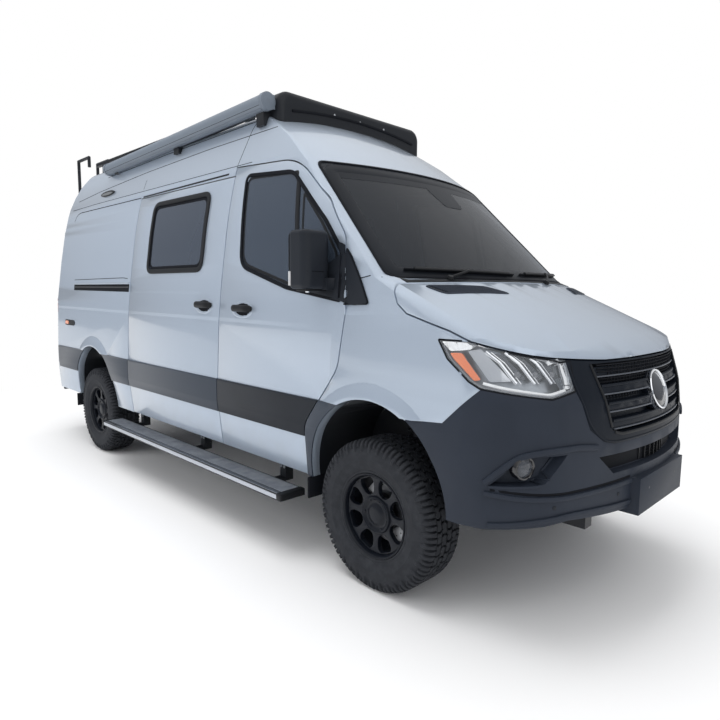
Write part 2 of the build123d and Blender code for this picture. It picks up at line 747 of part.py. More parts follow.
board_back, board_front, board_bottom, board_top = BOARD
board_in, board_out = BOARD_HALF
with BuildPart() as running_board:
    add(block((board_back, -board_out, board_bottom), (board_front, -board_in, board_top)))
    for ahead in BOARD_ARMS:
        add(block((ahead - 30, -board_in, board_bottom + 5), (ahead + 30, -ARM_HALF[0], board_top - 10)))
        add(block((ahead - 30, -ARM_HALF[1], board_bottom + 5), (ahead + 30, -ARM_HALF[0], floor_bottom - SEAT_GAP)))
with BuildPart() as running_boards:
    add(running_board.part)
    add(left(running_board.part))
finish(running_boards.part, "running_boards", 2)

awning_rear, awning_front = (Vector(AXLE_F + ahead, -AWNING_ACROSS, height) for ahead, height in AWNING_AXIS)
awning_way = (awning_front - awning_rear).normalized()
awning_rise = (awning_front.Z - awning_rear.Z) / (awning_front.X - awning_rear.X)
cap_radius, cap_length = AWNING_CAP
with BuildPart() as awning:
    with BuildSketch(Plane(origin=awning_rear, x_dir=(0, 1, 0), z_dir=awning_way)):
        Circle(AWNING_RADIUS)
        with Locations((AWNING_RADIUS / 2, 0)):
            Rectangle(AWNING_RADIUS, 2 * AWNING_FLAT)
    extrude(amount=(awning_front - awning_rear).length)
    for end in (awning_rear, awning_front - awning_way * cap_length):
        with BuildSketch(Plane(origin=end, x_dir=(0, 1, 0), z_dir=awning_way)):
            Circle(cap_radius)
        extrude(amount=cap_length)
    for ahead in AWNING_BRACKETS:
        bracket_top = awning_rear.Z + awning_rise * (AXLE_F + ahead - awning_rear.X)
        bracket_low = (ahead - AWNING_BRACKET_HALF, -AWNING_ACROSS, AWNING_FOOT)
        add(block(bracket_low, (ahead + AWNING_BRACKET_HALF, -AWNING_SEAT, bracket_top)))
    add(outer, mode=Mode.SUBTRACT)
finish(awning.part, "awning")

fairing_rear, fairing_front, fairing_half, fairing_low, fairing_top = FAIRING
bar_width, bar_height = RACK_BAR
foot_length, foot_low = RACK_FOOT


def fairing_block(shrink):
    """The roof fairing's rounded form, moved inwards but left open at its rear and bottom."""
    low = (fairing_rear - shrink / FAIRING_WALL, shrink - fairing_half, fairing_low - shrink / FAIRING_WALL)
    with BuildPart() as form:
        add(block(low, (fairing_front - shrink, fairing_half - shrink, fairing_top - shrink)))
        fillet(form.faces().sort_by(Axis.Z)[-1].edges().filter_by(Axis.X), 2 * FAIRING_ROUND - shrink)
        upper = form.faces().sort_by(Axis.X)[-1].edges().filter_by(lambda edge: edge.center().Z > 2700)
        fillet(upper, FAIRING_ROUND - shrink)
    return form.part


with BuildPart() as fairing:
    add(fairing_block(0))
    add(fairing_block(FAIRING_WALL), mode=Mode.SUBTRACT)

with BuildPart() as roof_rack:
    add(fairing.part)
    for side in (-1, 1):
        rail_y = side * RACK_HALF
        low_y, high_y = rail_y - RACK_RAIL_WIDTH / 2, rail_y + RACK_RAIL_WIDTH / 2
        add(block((RACK_SPAN[0], low_y, RACK_TOP - bar_height), (RACK_SPAN[1], high_y, RACK_TOP)))
        for ahead in RACK_BARS:
            foot_x = ahead - foot_length / 2
            add(block((foot_x, low_y, foot_low), (foot_x + foot_length, high_y, RACK_TOP - bar_height)))
    for ahead in RACK_BARS:
        reach = RACK_HALF - RACK_RAIL_WIDTH / 2 - SEAT_GAP
        add(block((ahead - bar_width / 2, -reach, RACK_TOP - bar_height), (ahead + bar_width / 2, reach, RACK_TOP)))
    add(outer, mode=Mode.SUBTRACT)
finish(roof_rack.part, "roof_rack", 6)

with BuildPart() as air_conditioner:
    add(block((UNIT_SPAN[0], -UNIT_HALF, 2700), (UNIT_SPAN[1], UNIT_HALF, UNIT_TOP)))
    fillet(air_conditioner.edges().filter_by(Axis.Z), 80)
    fillet(air_conditioner.faces().sort_by(Axis.Z)[-1].edges(), 50)
    add(outer, mode=Mode.SUBTRACT)
finish(air_conditioner.part, "air_conditioner")

bar_end, bar_half, bar_low, bar_high = REAR_BAR
plate_rear, plate_front, plate_bottom = HITCH_PLATE
plate_top = floor_bottom - RAIL_HEIGHT - SEAT_GAP
plate_reach = RAIL_HALF_GAP + RAIL_WIDTH


def receiver_box(back, front, half):
    return block((back, -half, RECEIVER_HEIGHT - half), (front, half, RECEIVER_HEIGHT + half))


with BuildPart() as rear_bumper:
    add(block((bar_end, -bar_half, bar_low), (-BODY_REAR - SEAT_GAP, bar_half, bar_high)))
    fillet(rear_bumper.edges().filter_by(Axis.Z).group_by(Axis.X)[0], REAR_BAR_ROUND)
    add(block((plate_rear, -plate_reach, plate_bottom), (plate_front, plate_reach, plate_top)))
    add(receiver_box(-RECEIVER_END, -RECEIVER_FRONT, RECEIVER_HALF + SEAT_GAP), mode=Mode.SUBTRACT)
    add(receiver_box(-RECEIVER_END, -RECEIVER_FRONT - SEAT_GAP, RECEIVER_HALF))
    add(receiver_box(-RECEIVER_END, -RECEIVER_FRONT, RECEIVER_BORE_HALF), mode=Mode.SUBTRACT)
    pin_ends = ((-RECEIVER_PIN, side * 2 * RECEIVER_HALF, RECEIVER_HEIGHT) for side in (-1, 1))
    add(rod(*pin_ends, PIN_RADIUS), mode=Mode.SUBTRACT)
finish(rear_bumper.part, "rear_bumper", 3)

tail = panel(zone_of_tail())
with BuildPart() as tail_lamps:
    add(tail)
    add(left(tail))
finish(tail_lamps.part, "tail_lamps", 2)

with BuildPart() as mud_flaps:
    for ahead in AXLES:
        flap = block((ahead - 486, -1000, 375), (ahead - 472, -740, BODY_BOTTOM - SEAT_GAP))
        add(flap)
        add(left(flap))
finish(mud_flaps.part, "mud_flaps", 4)

# Door trim: the dark strip, the handle and, on the front doors, the mirror
def proud_piece(*zones):
    with BuildPart() as piece:
        add(proud_layer.part)
        for zone in zones:
            add(zone, mode=Mode.INTERSECT)
    return piece.part


def rounded_block(corners, sides, ends):
    """A box with rounded upright edges and rounded edges at its top and bottom."""
    low, high = corners
    with BuildPart() as solid:
        add(block(low, high))
        fillet(solid.edges().filter_by(Axis.Z), sides)
        fillet(solid.edges().filter_by(Plane.XY), ends)
    return solid.part


with BuildPart() as front_trim:
    add(rounded_block(MIRROR, *MIRROR_ROUND))
    add(block(*MIRROR_ARM))
    with BuildPart(mode=Mode.PRIVATE) as handle:
        add(block(*HANDLE))
        fillet(handle.edges().filter_by(Axis.Y), HANDLE_ROUND)
    add(handle.part)
    add(outer, mode=Mode.SUBTRACT)
    add(proud_piece(side_zone(FRONT_DOOR, 720, grow=-half_gap), block((-2000, -1300, band_low), (0, 0, band_high))))
    add(proud_piece(side_zone(SAIL, 720)))
finish(front_trim.part, "front_trim_right", 3)
finish(left(front_trim.part), "front_trim_left", 3)

# Ladder on the right rear door
with BuildPart() as ladder:
    rail_x = -REAR_REACH + LADDER_RADIUS
    hook_x = rail_x + LADDER_HOOK
    step_count, first_step, step_rise = LADDER_STEPS
    for foot_y, head_y in zip(LADDER_RAILS, LADDER_UPPER_RAILS):
        path = (
            (rail_x, -foot_y, LADDER_FOOT - 50), (rail_x, -foot_y, LADDER_BEND), (rail_x, -head_y, LADDER_BEND + 300),
            (rail_x, -head_y, LADDER_TOP), (hook_x, -head_y, LADDER_TOP), (hook_x, -head_y, LADDER_TOP - 100),
        )
        for start, end in zip(path, path[1:]):
            add(rod(start, end, LADDER_RADIUS))
        for corner in path[1:-1]:
            with Locations(Vector(*corner) + Vector(AXLE_F, 0, 0)):
                Sphere(LADDER_RADIUS)
        add(rod((rail_x, -foot_y, LADDER_FOOT), (REAR_FACE[1], -foot_y, LADDER_FOOT), STAY_RADIUS))
        add(rod((rail_x, -foot_y, LADDER_BEND), (REAR_FACE[1], -foot_y, LADDER_BEND), STAY_RADIUS))
    for step in range(step_count):
        height = first_step + step_rise * step
        add(rod((rail_x, -LADDER_RAILS[0], height), (rail_x, -LADDER_RAILS[1], height), STEP_RADIUS))
    add(outer, mode=Mode.SUBTRACT)
finish(ladder.part, "ladder")

# Inside
with BuildPart() as engine:
    add(block((200, -RAIL_HALF_GAP + SEAT_GAP, 480), (800, RAIL_HALF_GAP - SEAT_GAP, 1100)))
finish(engine.part, "engine")

with BuildPart() as dashboard:
    add(side_zone(DASH_OUTLINE, -900, 900))
finish(dashboard.part, "dashboard")

with BuildPart() as steering_wheel:
    centre = Vector(AXLE_F - 560, SEAT_HALF, 1290)
    column_end = Vector(AXLE_F - 440, SEAT_HALF, 1210)
    axis_dir = (column_end - centre).normalized()
    with BuildSketch(Plane(origin=centre, x_dir=(0, 1, 0), z_dir=axis_dir.cross(Vector(0, 1, 0)))):
        with Locations((185, 0)):
            Circle(15)
    revolve(axis=Axis(centre, axis_dir))
    with BuildSketch(Plane(origin=centre, x_dir=(0, 1, 0), z_dir=axis_dir)):
        Circle(60)
        for turn in (0, 180, -90):
            with Locations(Location((0, 0, 0), (0, 0, turn))):
                with Locations((95, 0)):
                    Rectangle(180, 34)
    extrude(amount=18)
    with BuildSketch(Plane(origin=centre, x_dir=(0, 1, 0), z_dir=axis_dir)):
        Circle(32)
    extrude(amount=200)
    add(dashboard.part, mode=Mode.SUBTRACT)
finish(steering_wheel.part, "steering_wheel")

with BuildPart() as front_seats:
    for side in (-1, 1):
        add(side_zone(SEAT_OUTLINE, side * SEAT_HALF - 240, side * SEAT_HALF + 240))
finish(front_seats.part, "front_seats", 2)

with BuildPart() as cabin_furniture:
    add(block((-4640, -1000, ARCH_TOP + LINER + SEAT_GAP), (-3150, 1000, 1110)))
    add(block((-2900, 330, floor_top + SEAT_GAP), (-2000, 1000, 1450)))
    add(seat, mode=Mode.INTERSECT)
finish(cabin_furniture.part, "cabin_furniture", 2)

# Front suspension, rear axle and wheels
hub_half = TRACK / 2
kingpin_half = hub_half - KINGPIN_INSET
with BuildPart() as front_subframe:
    add(block((-90, -RAIL_HALF_GAP - RAIL_WIDTH, 235), (90, RAIL_HALF_GAP + RAIL_WIDTH, 300)))
    for side in (-1, 1):
        rail_y = side * (RAIL_HALF_GAP + RAIL_WIDTH / 2)
        add(block((-60, rail_y - 30, 300), (60, rail_y + 30, floor_bottom - RAIL_HEIGHT - SEAT_GAP)))
        add(rod((0, side * 440, ARM_HEIGHT), (0, side * kingpin_half, ARM_HEIGHT), ARM_RADIUS))
        add(rod((0, side * 600, ARM_HEIGHT), (0, side * 600, ARCH_TOP - 2), 40))
finish(front_subframe.part, "front_subframe")

with BuildPart() as knuckle:
    add(rod((0, -kingpin_half, ARM_HEIGHT + ARM_RADIUS + SEAT_GAP), (0, -kingpin_half, 570), 22))
    add(rod((0, -kingpin_half, TYRE_RADIUS), (0, -hub_half - 40, TYRE_RADIUS), STUB_RADIUS))
finish(knuckle.part, "knuckle_right")
finish(left(knuckle.part), "knuckle_left")

def leaf_spring(side):
    with BuildPart() as leaf:
        with BuildSketch(side_plane().offset(side * 560 - 30)):
            with BuildLine():
                top = ThreePointArc((-WHEELBASE - 680, 560), (-WHEELBASE, 455), (-WHEELBASE + 680, 560))
                bottom = ThreePointArc((-WHEELBASE + 680, 530), (-WHEELBASE, 425), (-WHEELBASE - 680, 530))
                Line(top @ 1, bottom @ 0)
                Line(bottom @ 1, top @ 0)
            make_face()
        extrude(amount=60)
    return leaf.part


with BuildPart() as rear_axle:
    add(rod((-WHEELBASE, -740, TYRE_RADIUS), (-WHEELBASE, 740, TYRE_RADIUS), 45))
    add(rod((-WHEELBASE, -hub_half - 40, TYRE_RADIUS), (-WHEELBASE, hub_half + 40, TYRE_RADIUS), STUB_RADIUS))
    with Locations((AXLE_R, 0, TYRE_RADIUS)):
        Sphere(130)
    for side in (-1, 1):
        add(leaf_spring(side))
    add(block((-6000, -700, floor_bottom - SEAT_GAP), (0, 700, 700)), mode=Mode.SUBTRACT)
finish(rear_axle.part, "rear_axle")


def wheel_axis(ahead):
    return Axis((AXLE_F + ahead, 0, TYRE_RADIUS), (0, 1, 0))


def wheel_profile(ahead):
    """Drawn x is the radius and y is how far out from the wheel's middle, on the right."""
    return Plane(origin=(AXLE_F + ahead, -hub_half, TYRE_RADIUS), x_dir=(0, 0, 1), z_dir=(-1, 0, 0))


def tyre(ahead):
    half = TYRE_WIDTH / 2
    with BuildPart() as ring:
        with BuildSketch(wheel_profile(ahead)):
            with BuildLine():
                Polyline((RIM_RADIUS + SEAT_GAP, -108), (RIM_RADIUS + SEAT_GAP, 108), (245, 112))
                ThreePointArc((245, 112), (310, half), (368, 118))
                Polyline((368, 118), (TYRE_RADIUS - 6, 100), (TYRE_RADIUS, 84), (TYRE_RADIUS, -84), (TYRE_RADIUS - 6, -100), (368, -118))
                ThreePointArc((368, -118), (310, -half), (245, -112))
                Line((245, -112), (RIM_RADIUS + SEAT_GAP, -108))
            make_face()
        revolve(axis=wheel_axis(ahead))
    return ring.part


def rim(ahead):
    face = Plane(origin=(AXLE_F + ahead, -hub_half, TYRE_RADIUS), x_dir=(1, 0, 0), z_dir=(0, -1, 0))
    with BuildPart() as wheel:
        with BuildSketch(wheel_profile(ahead)):
            with BuildLine():
                Polyline(
                    (RIM_RADIUS - 12, -112), (RIM_RADIUS, -112), (RIM_RADIUS, 108), (RIM_RADIUS, 112),
                    (RIM_RADIUS - 12, 112), close=True,
                )
            make_face()
        revolve(axis=wheel_axis(ahead))
        with BuildSketch(face.offset(50)):
            Circle(RIM_RADIUS - 8)
            with PolarLocations(145, SPOKE_COUNT):
                Trapezoid(88, 70, 70, rotation=90, mode=Mode.SUBTRACT)
        extrude(amount=36)
        with BuildSketch(face.offset(-30)):
            Circle(HUB_RADIUS)
        extrude(amount=122)
        with BuildSketch(face.offset(-28)):
            Circle(DISC_RADIUS)
        extrude(amount=20)
        with BuildSketch(face.offset(-30)):
            Circle(HUB_BORE)
        extrude(amount=75, mode=Mode.SUBTRACT)
    return wheel.part


for place, ahead in zip(("front", "rear"), AXLES):
    finish(tyre(ahead), f"tyre_{place}_right")
    finish(left(tyre(ahead)), f"tyre_{place}_left")
    finish(rim(ahead), f"rim_{place}_right")
    finish(left(rim(ahead)), f"rim_{place}_left")
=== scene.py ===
"""Finishes and small parts of the high-roof camper van, over its fixed frame of solids.

Lengths are in metres. The van heads along +X, +Y is its left side, and the ground is at 0.
Right-hand pieces are made first, and the left-hand ones are their mirror images.
"""

import json
from math import cos, pi, radians, sin, tau

import bmesh
import bpy
from mathutils import Matrix, Vector
from mathutils.bvhtree import BVHTree

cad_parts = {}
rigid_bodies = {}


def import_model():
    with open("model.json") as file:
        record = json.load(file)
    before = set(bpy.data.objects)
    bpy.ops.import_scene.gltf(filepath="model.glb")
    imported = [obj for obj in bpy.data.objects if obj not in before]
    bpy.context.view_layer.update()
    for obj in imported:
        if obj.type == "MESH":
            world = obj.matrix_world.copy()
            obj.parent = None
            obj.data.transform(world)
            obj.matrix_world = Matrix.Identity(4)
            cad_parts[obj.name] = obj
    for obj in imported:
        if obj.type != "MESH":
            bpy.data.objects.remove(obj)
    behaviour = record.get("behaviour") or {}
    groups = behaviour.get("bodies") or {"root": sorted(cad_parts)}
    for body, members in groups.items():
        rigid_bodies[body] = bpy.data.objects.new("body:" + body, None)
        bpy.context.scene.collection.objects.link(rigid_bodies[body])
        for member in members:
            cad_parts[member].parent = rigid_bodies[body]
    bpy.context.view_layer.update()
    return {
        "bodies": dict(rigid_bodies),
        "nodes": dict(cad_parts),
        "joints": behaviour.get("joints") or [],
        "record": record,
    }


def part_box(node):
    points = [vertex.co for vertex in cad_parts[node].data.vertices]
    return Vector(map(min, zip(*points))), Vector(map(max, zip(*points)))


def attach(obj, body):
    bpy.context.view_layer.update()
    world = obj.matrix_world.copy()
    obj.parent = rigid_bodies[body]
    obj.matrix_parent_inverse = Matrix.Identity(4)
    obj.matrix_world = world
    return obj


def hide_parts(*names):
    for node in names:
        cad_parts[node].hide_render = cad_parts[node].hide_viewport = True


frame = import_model()
NODES = frame["nodes"]
BODIES = frame["record"]["behaviour"]["bodies"]
BODY_OF = {node: body for body, nodes in BODIES.items() for node in nodes}
VAN = "van_body"

AXLE_F = sum(corner[0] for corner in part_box("tyre_front_right")) / 2
AXLE_R = sum(corner[0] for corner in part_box("tyre_rear_right")) / 2
HALF_TRACK = -sum(corner[1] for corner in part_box("tyre_front_right")) / 2
TYRE_RADIUS = sum(corner[2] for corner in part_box("tyre_front_right")) / 2

# Camera: where it stands, how it is turned in degrees, and its lens in millimetres on a 36 mm sensor
CAMERA_PLACE = (3.8758, -3.0482, 1.5559)
CAMERA_YAW, CAMERA_PITCH, CAMERA_ROLL = 45.163, 6.773, 0.57
CAMERA_LENS, CAMERA_SENSOR = 28.887, 36.0


# ---------------------------------------------------------------- shader maths


class Shade:
    """One output of a finish's nodes, which takes Python's arithmetic."""

    def __init__(self, finish, socket):
        self.finish = finish
        self.socket = socket

    def joined(self, operation, first, second):
        return self.finish.node("ShaderNodeMath", {"operation": operation}, {0: first, 1: second})

    def __add__(self, other):
        return self.joined("ADD", self, other)

    __radd__ = __add__

    def __sub__(self, other):
        return self.joined("SUBTRACT", self, other)

    def __rsub__(self, other):
        return self.joined("SUBTRACT", other, self)

    def __mul__(self, other):
        return self.joined("MULTIPLY", self, other)

    __rmul__ = __mul__


class Finish:
    """A material with one Principled shader, built from nodes."""

    def __init__(self, name, colour, roughness, metallic=0.0, **extra):
        self.material = bpy.data.materials.new(name)
        self.material.use_nodes = True
        self.tree = self.material.node_tree
        self.shader = self.tree.nodes["Principled BSDF"]
        self.put(**{"Base Color": (*colour, 1.0), "Roughness": roughness, "Metallic": metallic})
        self.put(**{name.replace("_", " "): value for name, value in extra.items()})

    def put(self, **values):
        for name, value in values.items():
            self.plug(self.shader.inputs[name], value)

    def plug(self, socket, value):
        if isinstance(value, Shade):
            self.tree.links.new(value.socket, socket)
        else:
            socket.default_value = value

    def node(self, kind, settings=None, inputs=None, output=0):
        made = self.tree.nodes.new(kind)
        for name, value in (settings or {}).items():
            setattr(made, name, value)
        for name, value in (inputs or {}).items():
            self.plug(made.inputs[name], value)
        return Shade(self, made.outputs[output])

    def place(self, stretch=(1, 1, 1)):
        """Object coordinates, stretched."""
        point = self.node("ShaderNodeTexCoord", output="Object")
        return self.node("ShaderNodeMapping", inputs={"Vector": point, "Scale": stretch})

    def noise(self, scale, detail=2.0, rough=0.5, stretch=(1, 1, 1)):
        inputs = {"Vector": self.place(stretch), "Scale": scale, "Detail": detail, "Roughness": rough}
        return self.node("ShaderNodeTexNoise", inputs=inputs, output="Fac")

    def cells(self, scale):
        return self.node(
            "ShaderNodeTexVoronoi", inputs={"Vector": self.place(), "Scale": scale}, output="Distance"
        )

    def ramp(self, value, low, high):
        """0 where the value is low, 1 where it is high."""
        return self.node("ShaderNodeMapRange", inputs={"Value": value, "From Min": low, "From Max": high})

    def mixed(self, share, first, second):
        made = self.tree.nodes.new("ShaderNodeMix")
        made.data_type = "RGBA"
        for socket, value in ((made.inputs[0], share), (made.inputs[6], first), (made.inputs[7], second)):
            self.plug(socket, (*value, 1.0) if isinstance(value, tuple) else value)
        return Shade(self, made.outputs[2])

    def bump(self, height, distance, strength=1.0):
        inputs = {"Height": height, "Distance": distance, "Strength": strength}
        self.put(Normal=self.node("ShaderNodeBump", inputs=inputs))

    def along(self, axis):
        """How far a point lies along X, Y or Z."""
        point = self.node("ShaderNodeTexCoord", output="Object")
        return self.node("ShaderNodeSeparateXYZ", inputs={"Vector": point}, output=axis)


def body_paint():
    paint = Finish("body_paint", (0.48, 0.55, 0.65), 0.33, 0.5, Coat_Weight=1.0, Coat_Roughness=0.06)
    flakes = paint.ramp(paint.noise(900.0, 1.0), 0.35, 0.65)
    drift = paint.noise(1.3, 3.0)
    tone = paint.mixed(flakes, (0.445, 0.52, 0.62), (0.525, 0.6, 0.705))
    height = paint.along("Z")
    road_dust = paint.ramp(height, 1.0, 0.45) * paint.ramp(paint.noise(9.0, 4.0), 0.35, 0.8)
    # Painted shade: the colour darkens towards the bottom of the body, between 1.75 m and 0.95 m up
    tone = paint.mixed(paint.ramp(height, 1.75, 0.95) * 0.42, tone, (0.315, 0.385, 0.48))
    tone = paint.mixed(drift * 0.12, tone, (0.4, 0.47, 0.57))
    paint.put(**{"Base Color": paint.mixed(road_dust * 0.18, tone, (0.4, 0.4, 0.38))})
    paint.put(Roughness=0.3 + flakes * 0.08 + road_dust * 0.1)
    # Two pressed creases along the sides, which fade out on the front door
    across = paint.along("Y")
    on_side = paint.ramp(across * across, 0.8, 0.88)
    shoulder = paint.ramp(height, 1.35, 1.374) * paint.ramp(paint.along("X"), AXLE_F - 0.45, AXLE_F - 1.05)
    belt = paint.ramp(height, 1.526, 1.546) * paint.ramp(paint.along("X"), AXLE_F - 1.66, AXLE_F - 1.76)
    paint.bump((shoulder - belt) * on_side + paint.noise(420.0, 2.0) * 0.012, 0.0045, 0.7)
    return paint


def grained_plastic(name, colour, roughness, grain=1100.0, gleam=0.22):
    plastic = Finish(name, colour, roughness, Specular_IOR_Level=gleam)
    speck = plastic.noise(grain, 3.0)
    drift = plastic.noise(4.0, 4.0)
    lighter = tuple(min(1.0, part * 1.35 + 0.002) for part in colour)
    plastic.put(**{"Base Color": plastic.mixed(plastic.ramp(drift, 0.3, 0.75) * 0.6, colour, lighter)})
    plastic.put(Roughness=roughness - 0.06 + speck * 0.12)
    plastic.bump(speck, 0.0002, 0.35)
    return plastic


def satin_paint(name, colour, roughness=0.38, coat=0.0, gleam=0.3):
    paint = Finish(
        name, colour, roughness, 0.05, Coat_Weight=coat, Coat_Roughness=0.05, Specular_IOR_Level=gleam
    )
    orange_peel = paint.noise(260.0, 2.0)
    paint.put(Roughness=roughness - 0.05 + orange_peel * 0.1)
    paint.bump(orange_peel, 0.00012, 0.25)
    return paint


def tyre_rubber():
    rubber = Finish("tyre_rubber", (0.024, 0.026, 0.03), 0.8, Specular_IOR_Level=0.25)
    dust = rubber.ramp(rubber.noise(28.0, 5.0, 0.6), 0.42, 0.75)
    rubber.put(**{"Base Color": rubber.mixed(dust * 0.7, (0.02, 0.022, 0.027), (0.048, 0.051, 0.058))})
    rubber.put(Roughness=0.7 + dust * 0.2)
    rubber.bump(rubber.noise(700.0, 2.0), 0.0002, 0.4)
    return rubber


def window_glass(name, colour, cover):
    glass = Finish(
        name, colour, 0.02, 0.0, Alpha=cover, Coat_Weight=0.2, Coat_Roughness=0.01, Specular_IOR_Level=0.35
    )
    haze = glass.noise(3.0, 4.0)
    glass.put(Roughness=0.015 + haze * 0.03)
    return glass


def bright_metal(name, colour, roughness, brushed=False):
    metal = Finish(name, colour, roughness, 1.0)
    brush = metal.noise(180.0, 3.0, stretch=(1, 12, 12) if brushed else (1, 1, 1))
    metal.put(Roughness=roughness - 0.04 + brush * 0.1)
    return metal


def woven_cloth(name, colour, roughness, sheen, threads, raised, sunk, strength):
    """Cloth whose threads lie between a raised and a sunk colour: the weave's pattern, with its sunk parts
    painted darker as painted shade.
    """
    cloth = Finish(name, colour, roughness, Sheen_Weight=sheen)
    weave = cloth.cells(threads)
    # The sunk parts of the weave get the darker colour: painted shade
    cloth.put(**{"Base Color": cloth.mixed(cloth.ramp(weave, 0.1, 0.7), raised, sunk)})
    cloth.bump(weave, 0.0006, strength)
    return cloth


def oak_board():
    """Cabinet fronts: a fine long grain."""
    board = Finish("cabinet_board", (0.42, 0.31, 0.2), 0.5)
    grain = board.noise(24.0, 6.0, 0.6, stretch=(0.25, 0.25, 6.0))
    board.put(
        **{"Base Color": board.mixed(board.ramp(grain, 0.3, 0.7), (0.36, 0.26, 0.165), (0.5, 0.38, 0.25))}
    )
    board.put(Roughness=0.42 + grain * 0.2)
    board.bump(grain, 0.0003, 0.4)
    return board


def tread_plate():
    """The treads on the running boards and the rear step."""
    tread = Finish("board_grip", (0.25, 0.27, 0.31), 0.5, 0.5)
    wear = tread.ramp(tread.noise(14.0, 5.0), 0.35, 0.75)
    tread.put(**{"Base Color": tread.mixed(wear, (0.2, 0.22, 0.26), (0.3, 0.33, 0.37))})
    tread.put(Roughness=0.58 - wear * 0.16)
    tread.bump(tread.noise(420.0, 2.0), 0.0004, 0.4)
    return tread


def lamp_lens(name, colour, cover, flutes=0.0):
    lens = Finish(name, colour, 0.03, Alpha=cover, Coat_Weight=1.0, Coat_Roughness=0.01)
    lens.put(Roughness=0.02 + lens.noise(60.0, 2.0) * 0.03)
    if flutes:
        lens.bump(lens.cells(flutes), 0.001, 0.35)
    return lens


PAINT = body_paint()
PLASTIC = grained_plastic("dark_plastic", (0.022, 0.028, 0.041), 0.52, gleam=0.2)
BAND = satin_paint("side_band", (0.036, 0.047, 0.066), 0.36, 0.1)
TRIM_PLASTIC = grained_plastic("door_plastic", (0.014, 0.017, 0.023), 0.45)
BLACK_PLASTIC = grained_plastic("black_plastic", (0.01, 0.011, 0.013), 0.45)
SURROUND = grained_plastic("grille_plastic", (0.007, 0.01, 0.016), 0.42, gleam=0.12)
GRILLE_GREY = satin_paint("grille_grey", (0.085, 0.095, 0.115), 0.3)
SEAL = grained_plastic("seal_rubber", (0.006, 0.007, 0.01), 0.65, 600.0, gleam=0.12)
BLACK_GLOSS = satin_paint("gloss_black", (0.006, 0.006, 0.008), 0.12, 1.0)
BLACK_PAINT = satin_paint("black_paint", (0.012, 0.014, 0.018), 0.42)
SCREEN_BLACK = grained_plastic("screen_black", (0.01, 0.012, 0.016), 0.35, gleam=0.15)
WHEEL_PAINT = satin_paint("wheel_black", (0.007, 0.009, 0.014), 0.33, gleam=0.25)
RUBBER = tyre_rubber()
GLASS = window_glass("tinted_glass", (0.056, 0.074, 0.104), 0.8)
CAMPER_GLASS = window_glass("camper_glass", (0.048, 0.062, 0.088), 0.93)
SCREEN_GLASS = window_glass("screen_glass", (0.012, 0.016, 0.023), 0.66)
CLEAR = lamp_lens("lamp_clear", (0.7, 0.74, 0.78), 0.12)
SMOKE = lamp_lens("smoked_lens", (0.05, 0.055, 0.06), 1.0)
EYE = lamp_lens("projector_lens", (0.1, 0.11, 0.13), 1.0)
LAMP_BOWL = bright_metal("lamp_bowl", (0.42, 0.45, 0.49), 0.32)
LAMP_DARK = satin_paint("lamp_dark", (0.075, 0.083, 0.097), 0.25)
LAMP_WHITE = satin_paint("lamp_white", (0.86, 0.88, 0.9), 0.22)
FOG_GLASS = lamp_lens("fog_glass", (0.06, 0.07, 0.09), 0.45)
RED_LENS = lamp_lens("lamp_red", (0.3, 0.008, 0.01), 1.0, 260.0)
AMBER = lamp_lens("amber_lens", (0.78, 0.2, 0.06), 1.0, 300.0)
INDICATOR = lamp_lens("indicator_lens", (0.62, 0.62, 0.63), 1.0, 200.0)
CHROME = bright_metal("lamp_chrome", (0.88, 0.9, 0.93), 0.1)
CHROME_DARK = bright_metal("lamp_shade_chrome", (0.26, 0.27, 0.29), 0.18)
STEEL = bright_metal("dark_steel", (0.11, 0.11, 0.12), 0.45)
DISC_STEEL = bright_metal("brake_steel", (0.42, 0.43, 0.45), 0.32)
ALUMINIUM = bright_metal("grey_aluminium", (0.5, 0.52, 0.55), 0.3, brushed=True)
BOARD_EDGE = bright_metal("board_edge", (0.52, 0.55, 0.6), 0.34, brushed=True)
CASE_GREY = satin_paint("awning_grey", (0.165, 0.195, 0.235), 0.42)
CASE_CAP = grained_plastic("awning_cap", (0.15, 0.175, 0.21), 0.45)
WHITE_COVER = grained_plastic("roof_unit_white", (0.7, 0.72, 0.74), 0.35, 300.0)
CLOTH = woven_cloth(
    "seat_cloth", (0.055, 0.058, 0.066), 0.85, 0.35, 420.0, (0.075, 0.078, 0.088), (0.035, 0.037, 0.043), 0.5
)
MATTRESS = woven_cloth(
    "mattress_cloth", (0.52, 0.51, 0.49), 0.9, 0.2, 300.0, (0.56, 0.55, 0.53), (0.44, 0.43, 0.41), 0.4
)
BOARD = oak_board()
GRIP = tread_plate()
TRIM = grained_plastic("inside_trim", (0.035, 0.037, 0.042), 0.6, 500.0)
LINING = grained_plastic("inside_lining", (0.3, 0.3, 0.3), 0.8, 300.0)
REFLECTOR = satin_paint("mirror_glass", (0.55, 0.58, 0.62), 0.05)


# ---------------------------------------------------------------- mesh helpers


MERGE = 0.00002  # points nearer than this are one
CAD_SHARP = 30.0  # edges of the solids over this angle stay sharp
PATH_STEPS, OVAL_STEPS = 6, 28  # pieces of a path's rounded corner and of an oval


def shaded(mesh, sharp):
    """Soft shading, with the edges over an angle kept sharp."""
    mesh.polygons.foreach_set("use_smooth", [True] * len(mesh.polygons))
    mesh.set_sharp_from_angle(angle=radians(sharp))


def piece_from(name, mesh, finish, body=VAN, sharp=35.0):
    """A finished piece: its mesh gets the name, the finish and soft shading, and it rides on the body."""
    mesh.name = name
    mesh.materials.clear()
    mesh.materials.append(finish.material)
    shaded(mesh, sharp)
    piece = bpy.data.objects.new(name, mesh)
    bpy.context.scene.collection.objects.link(piece)
    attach(piece, body)
    return piece


def mesh_of(points, faces, edges=()):
    mesh = bpy.data.meshes.new("mesh")
    mesh.from_pydata([tuple(point) for point in points], edges, [tuple(face) for face in faces])
    return mesh


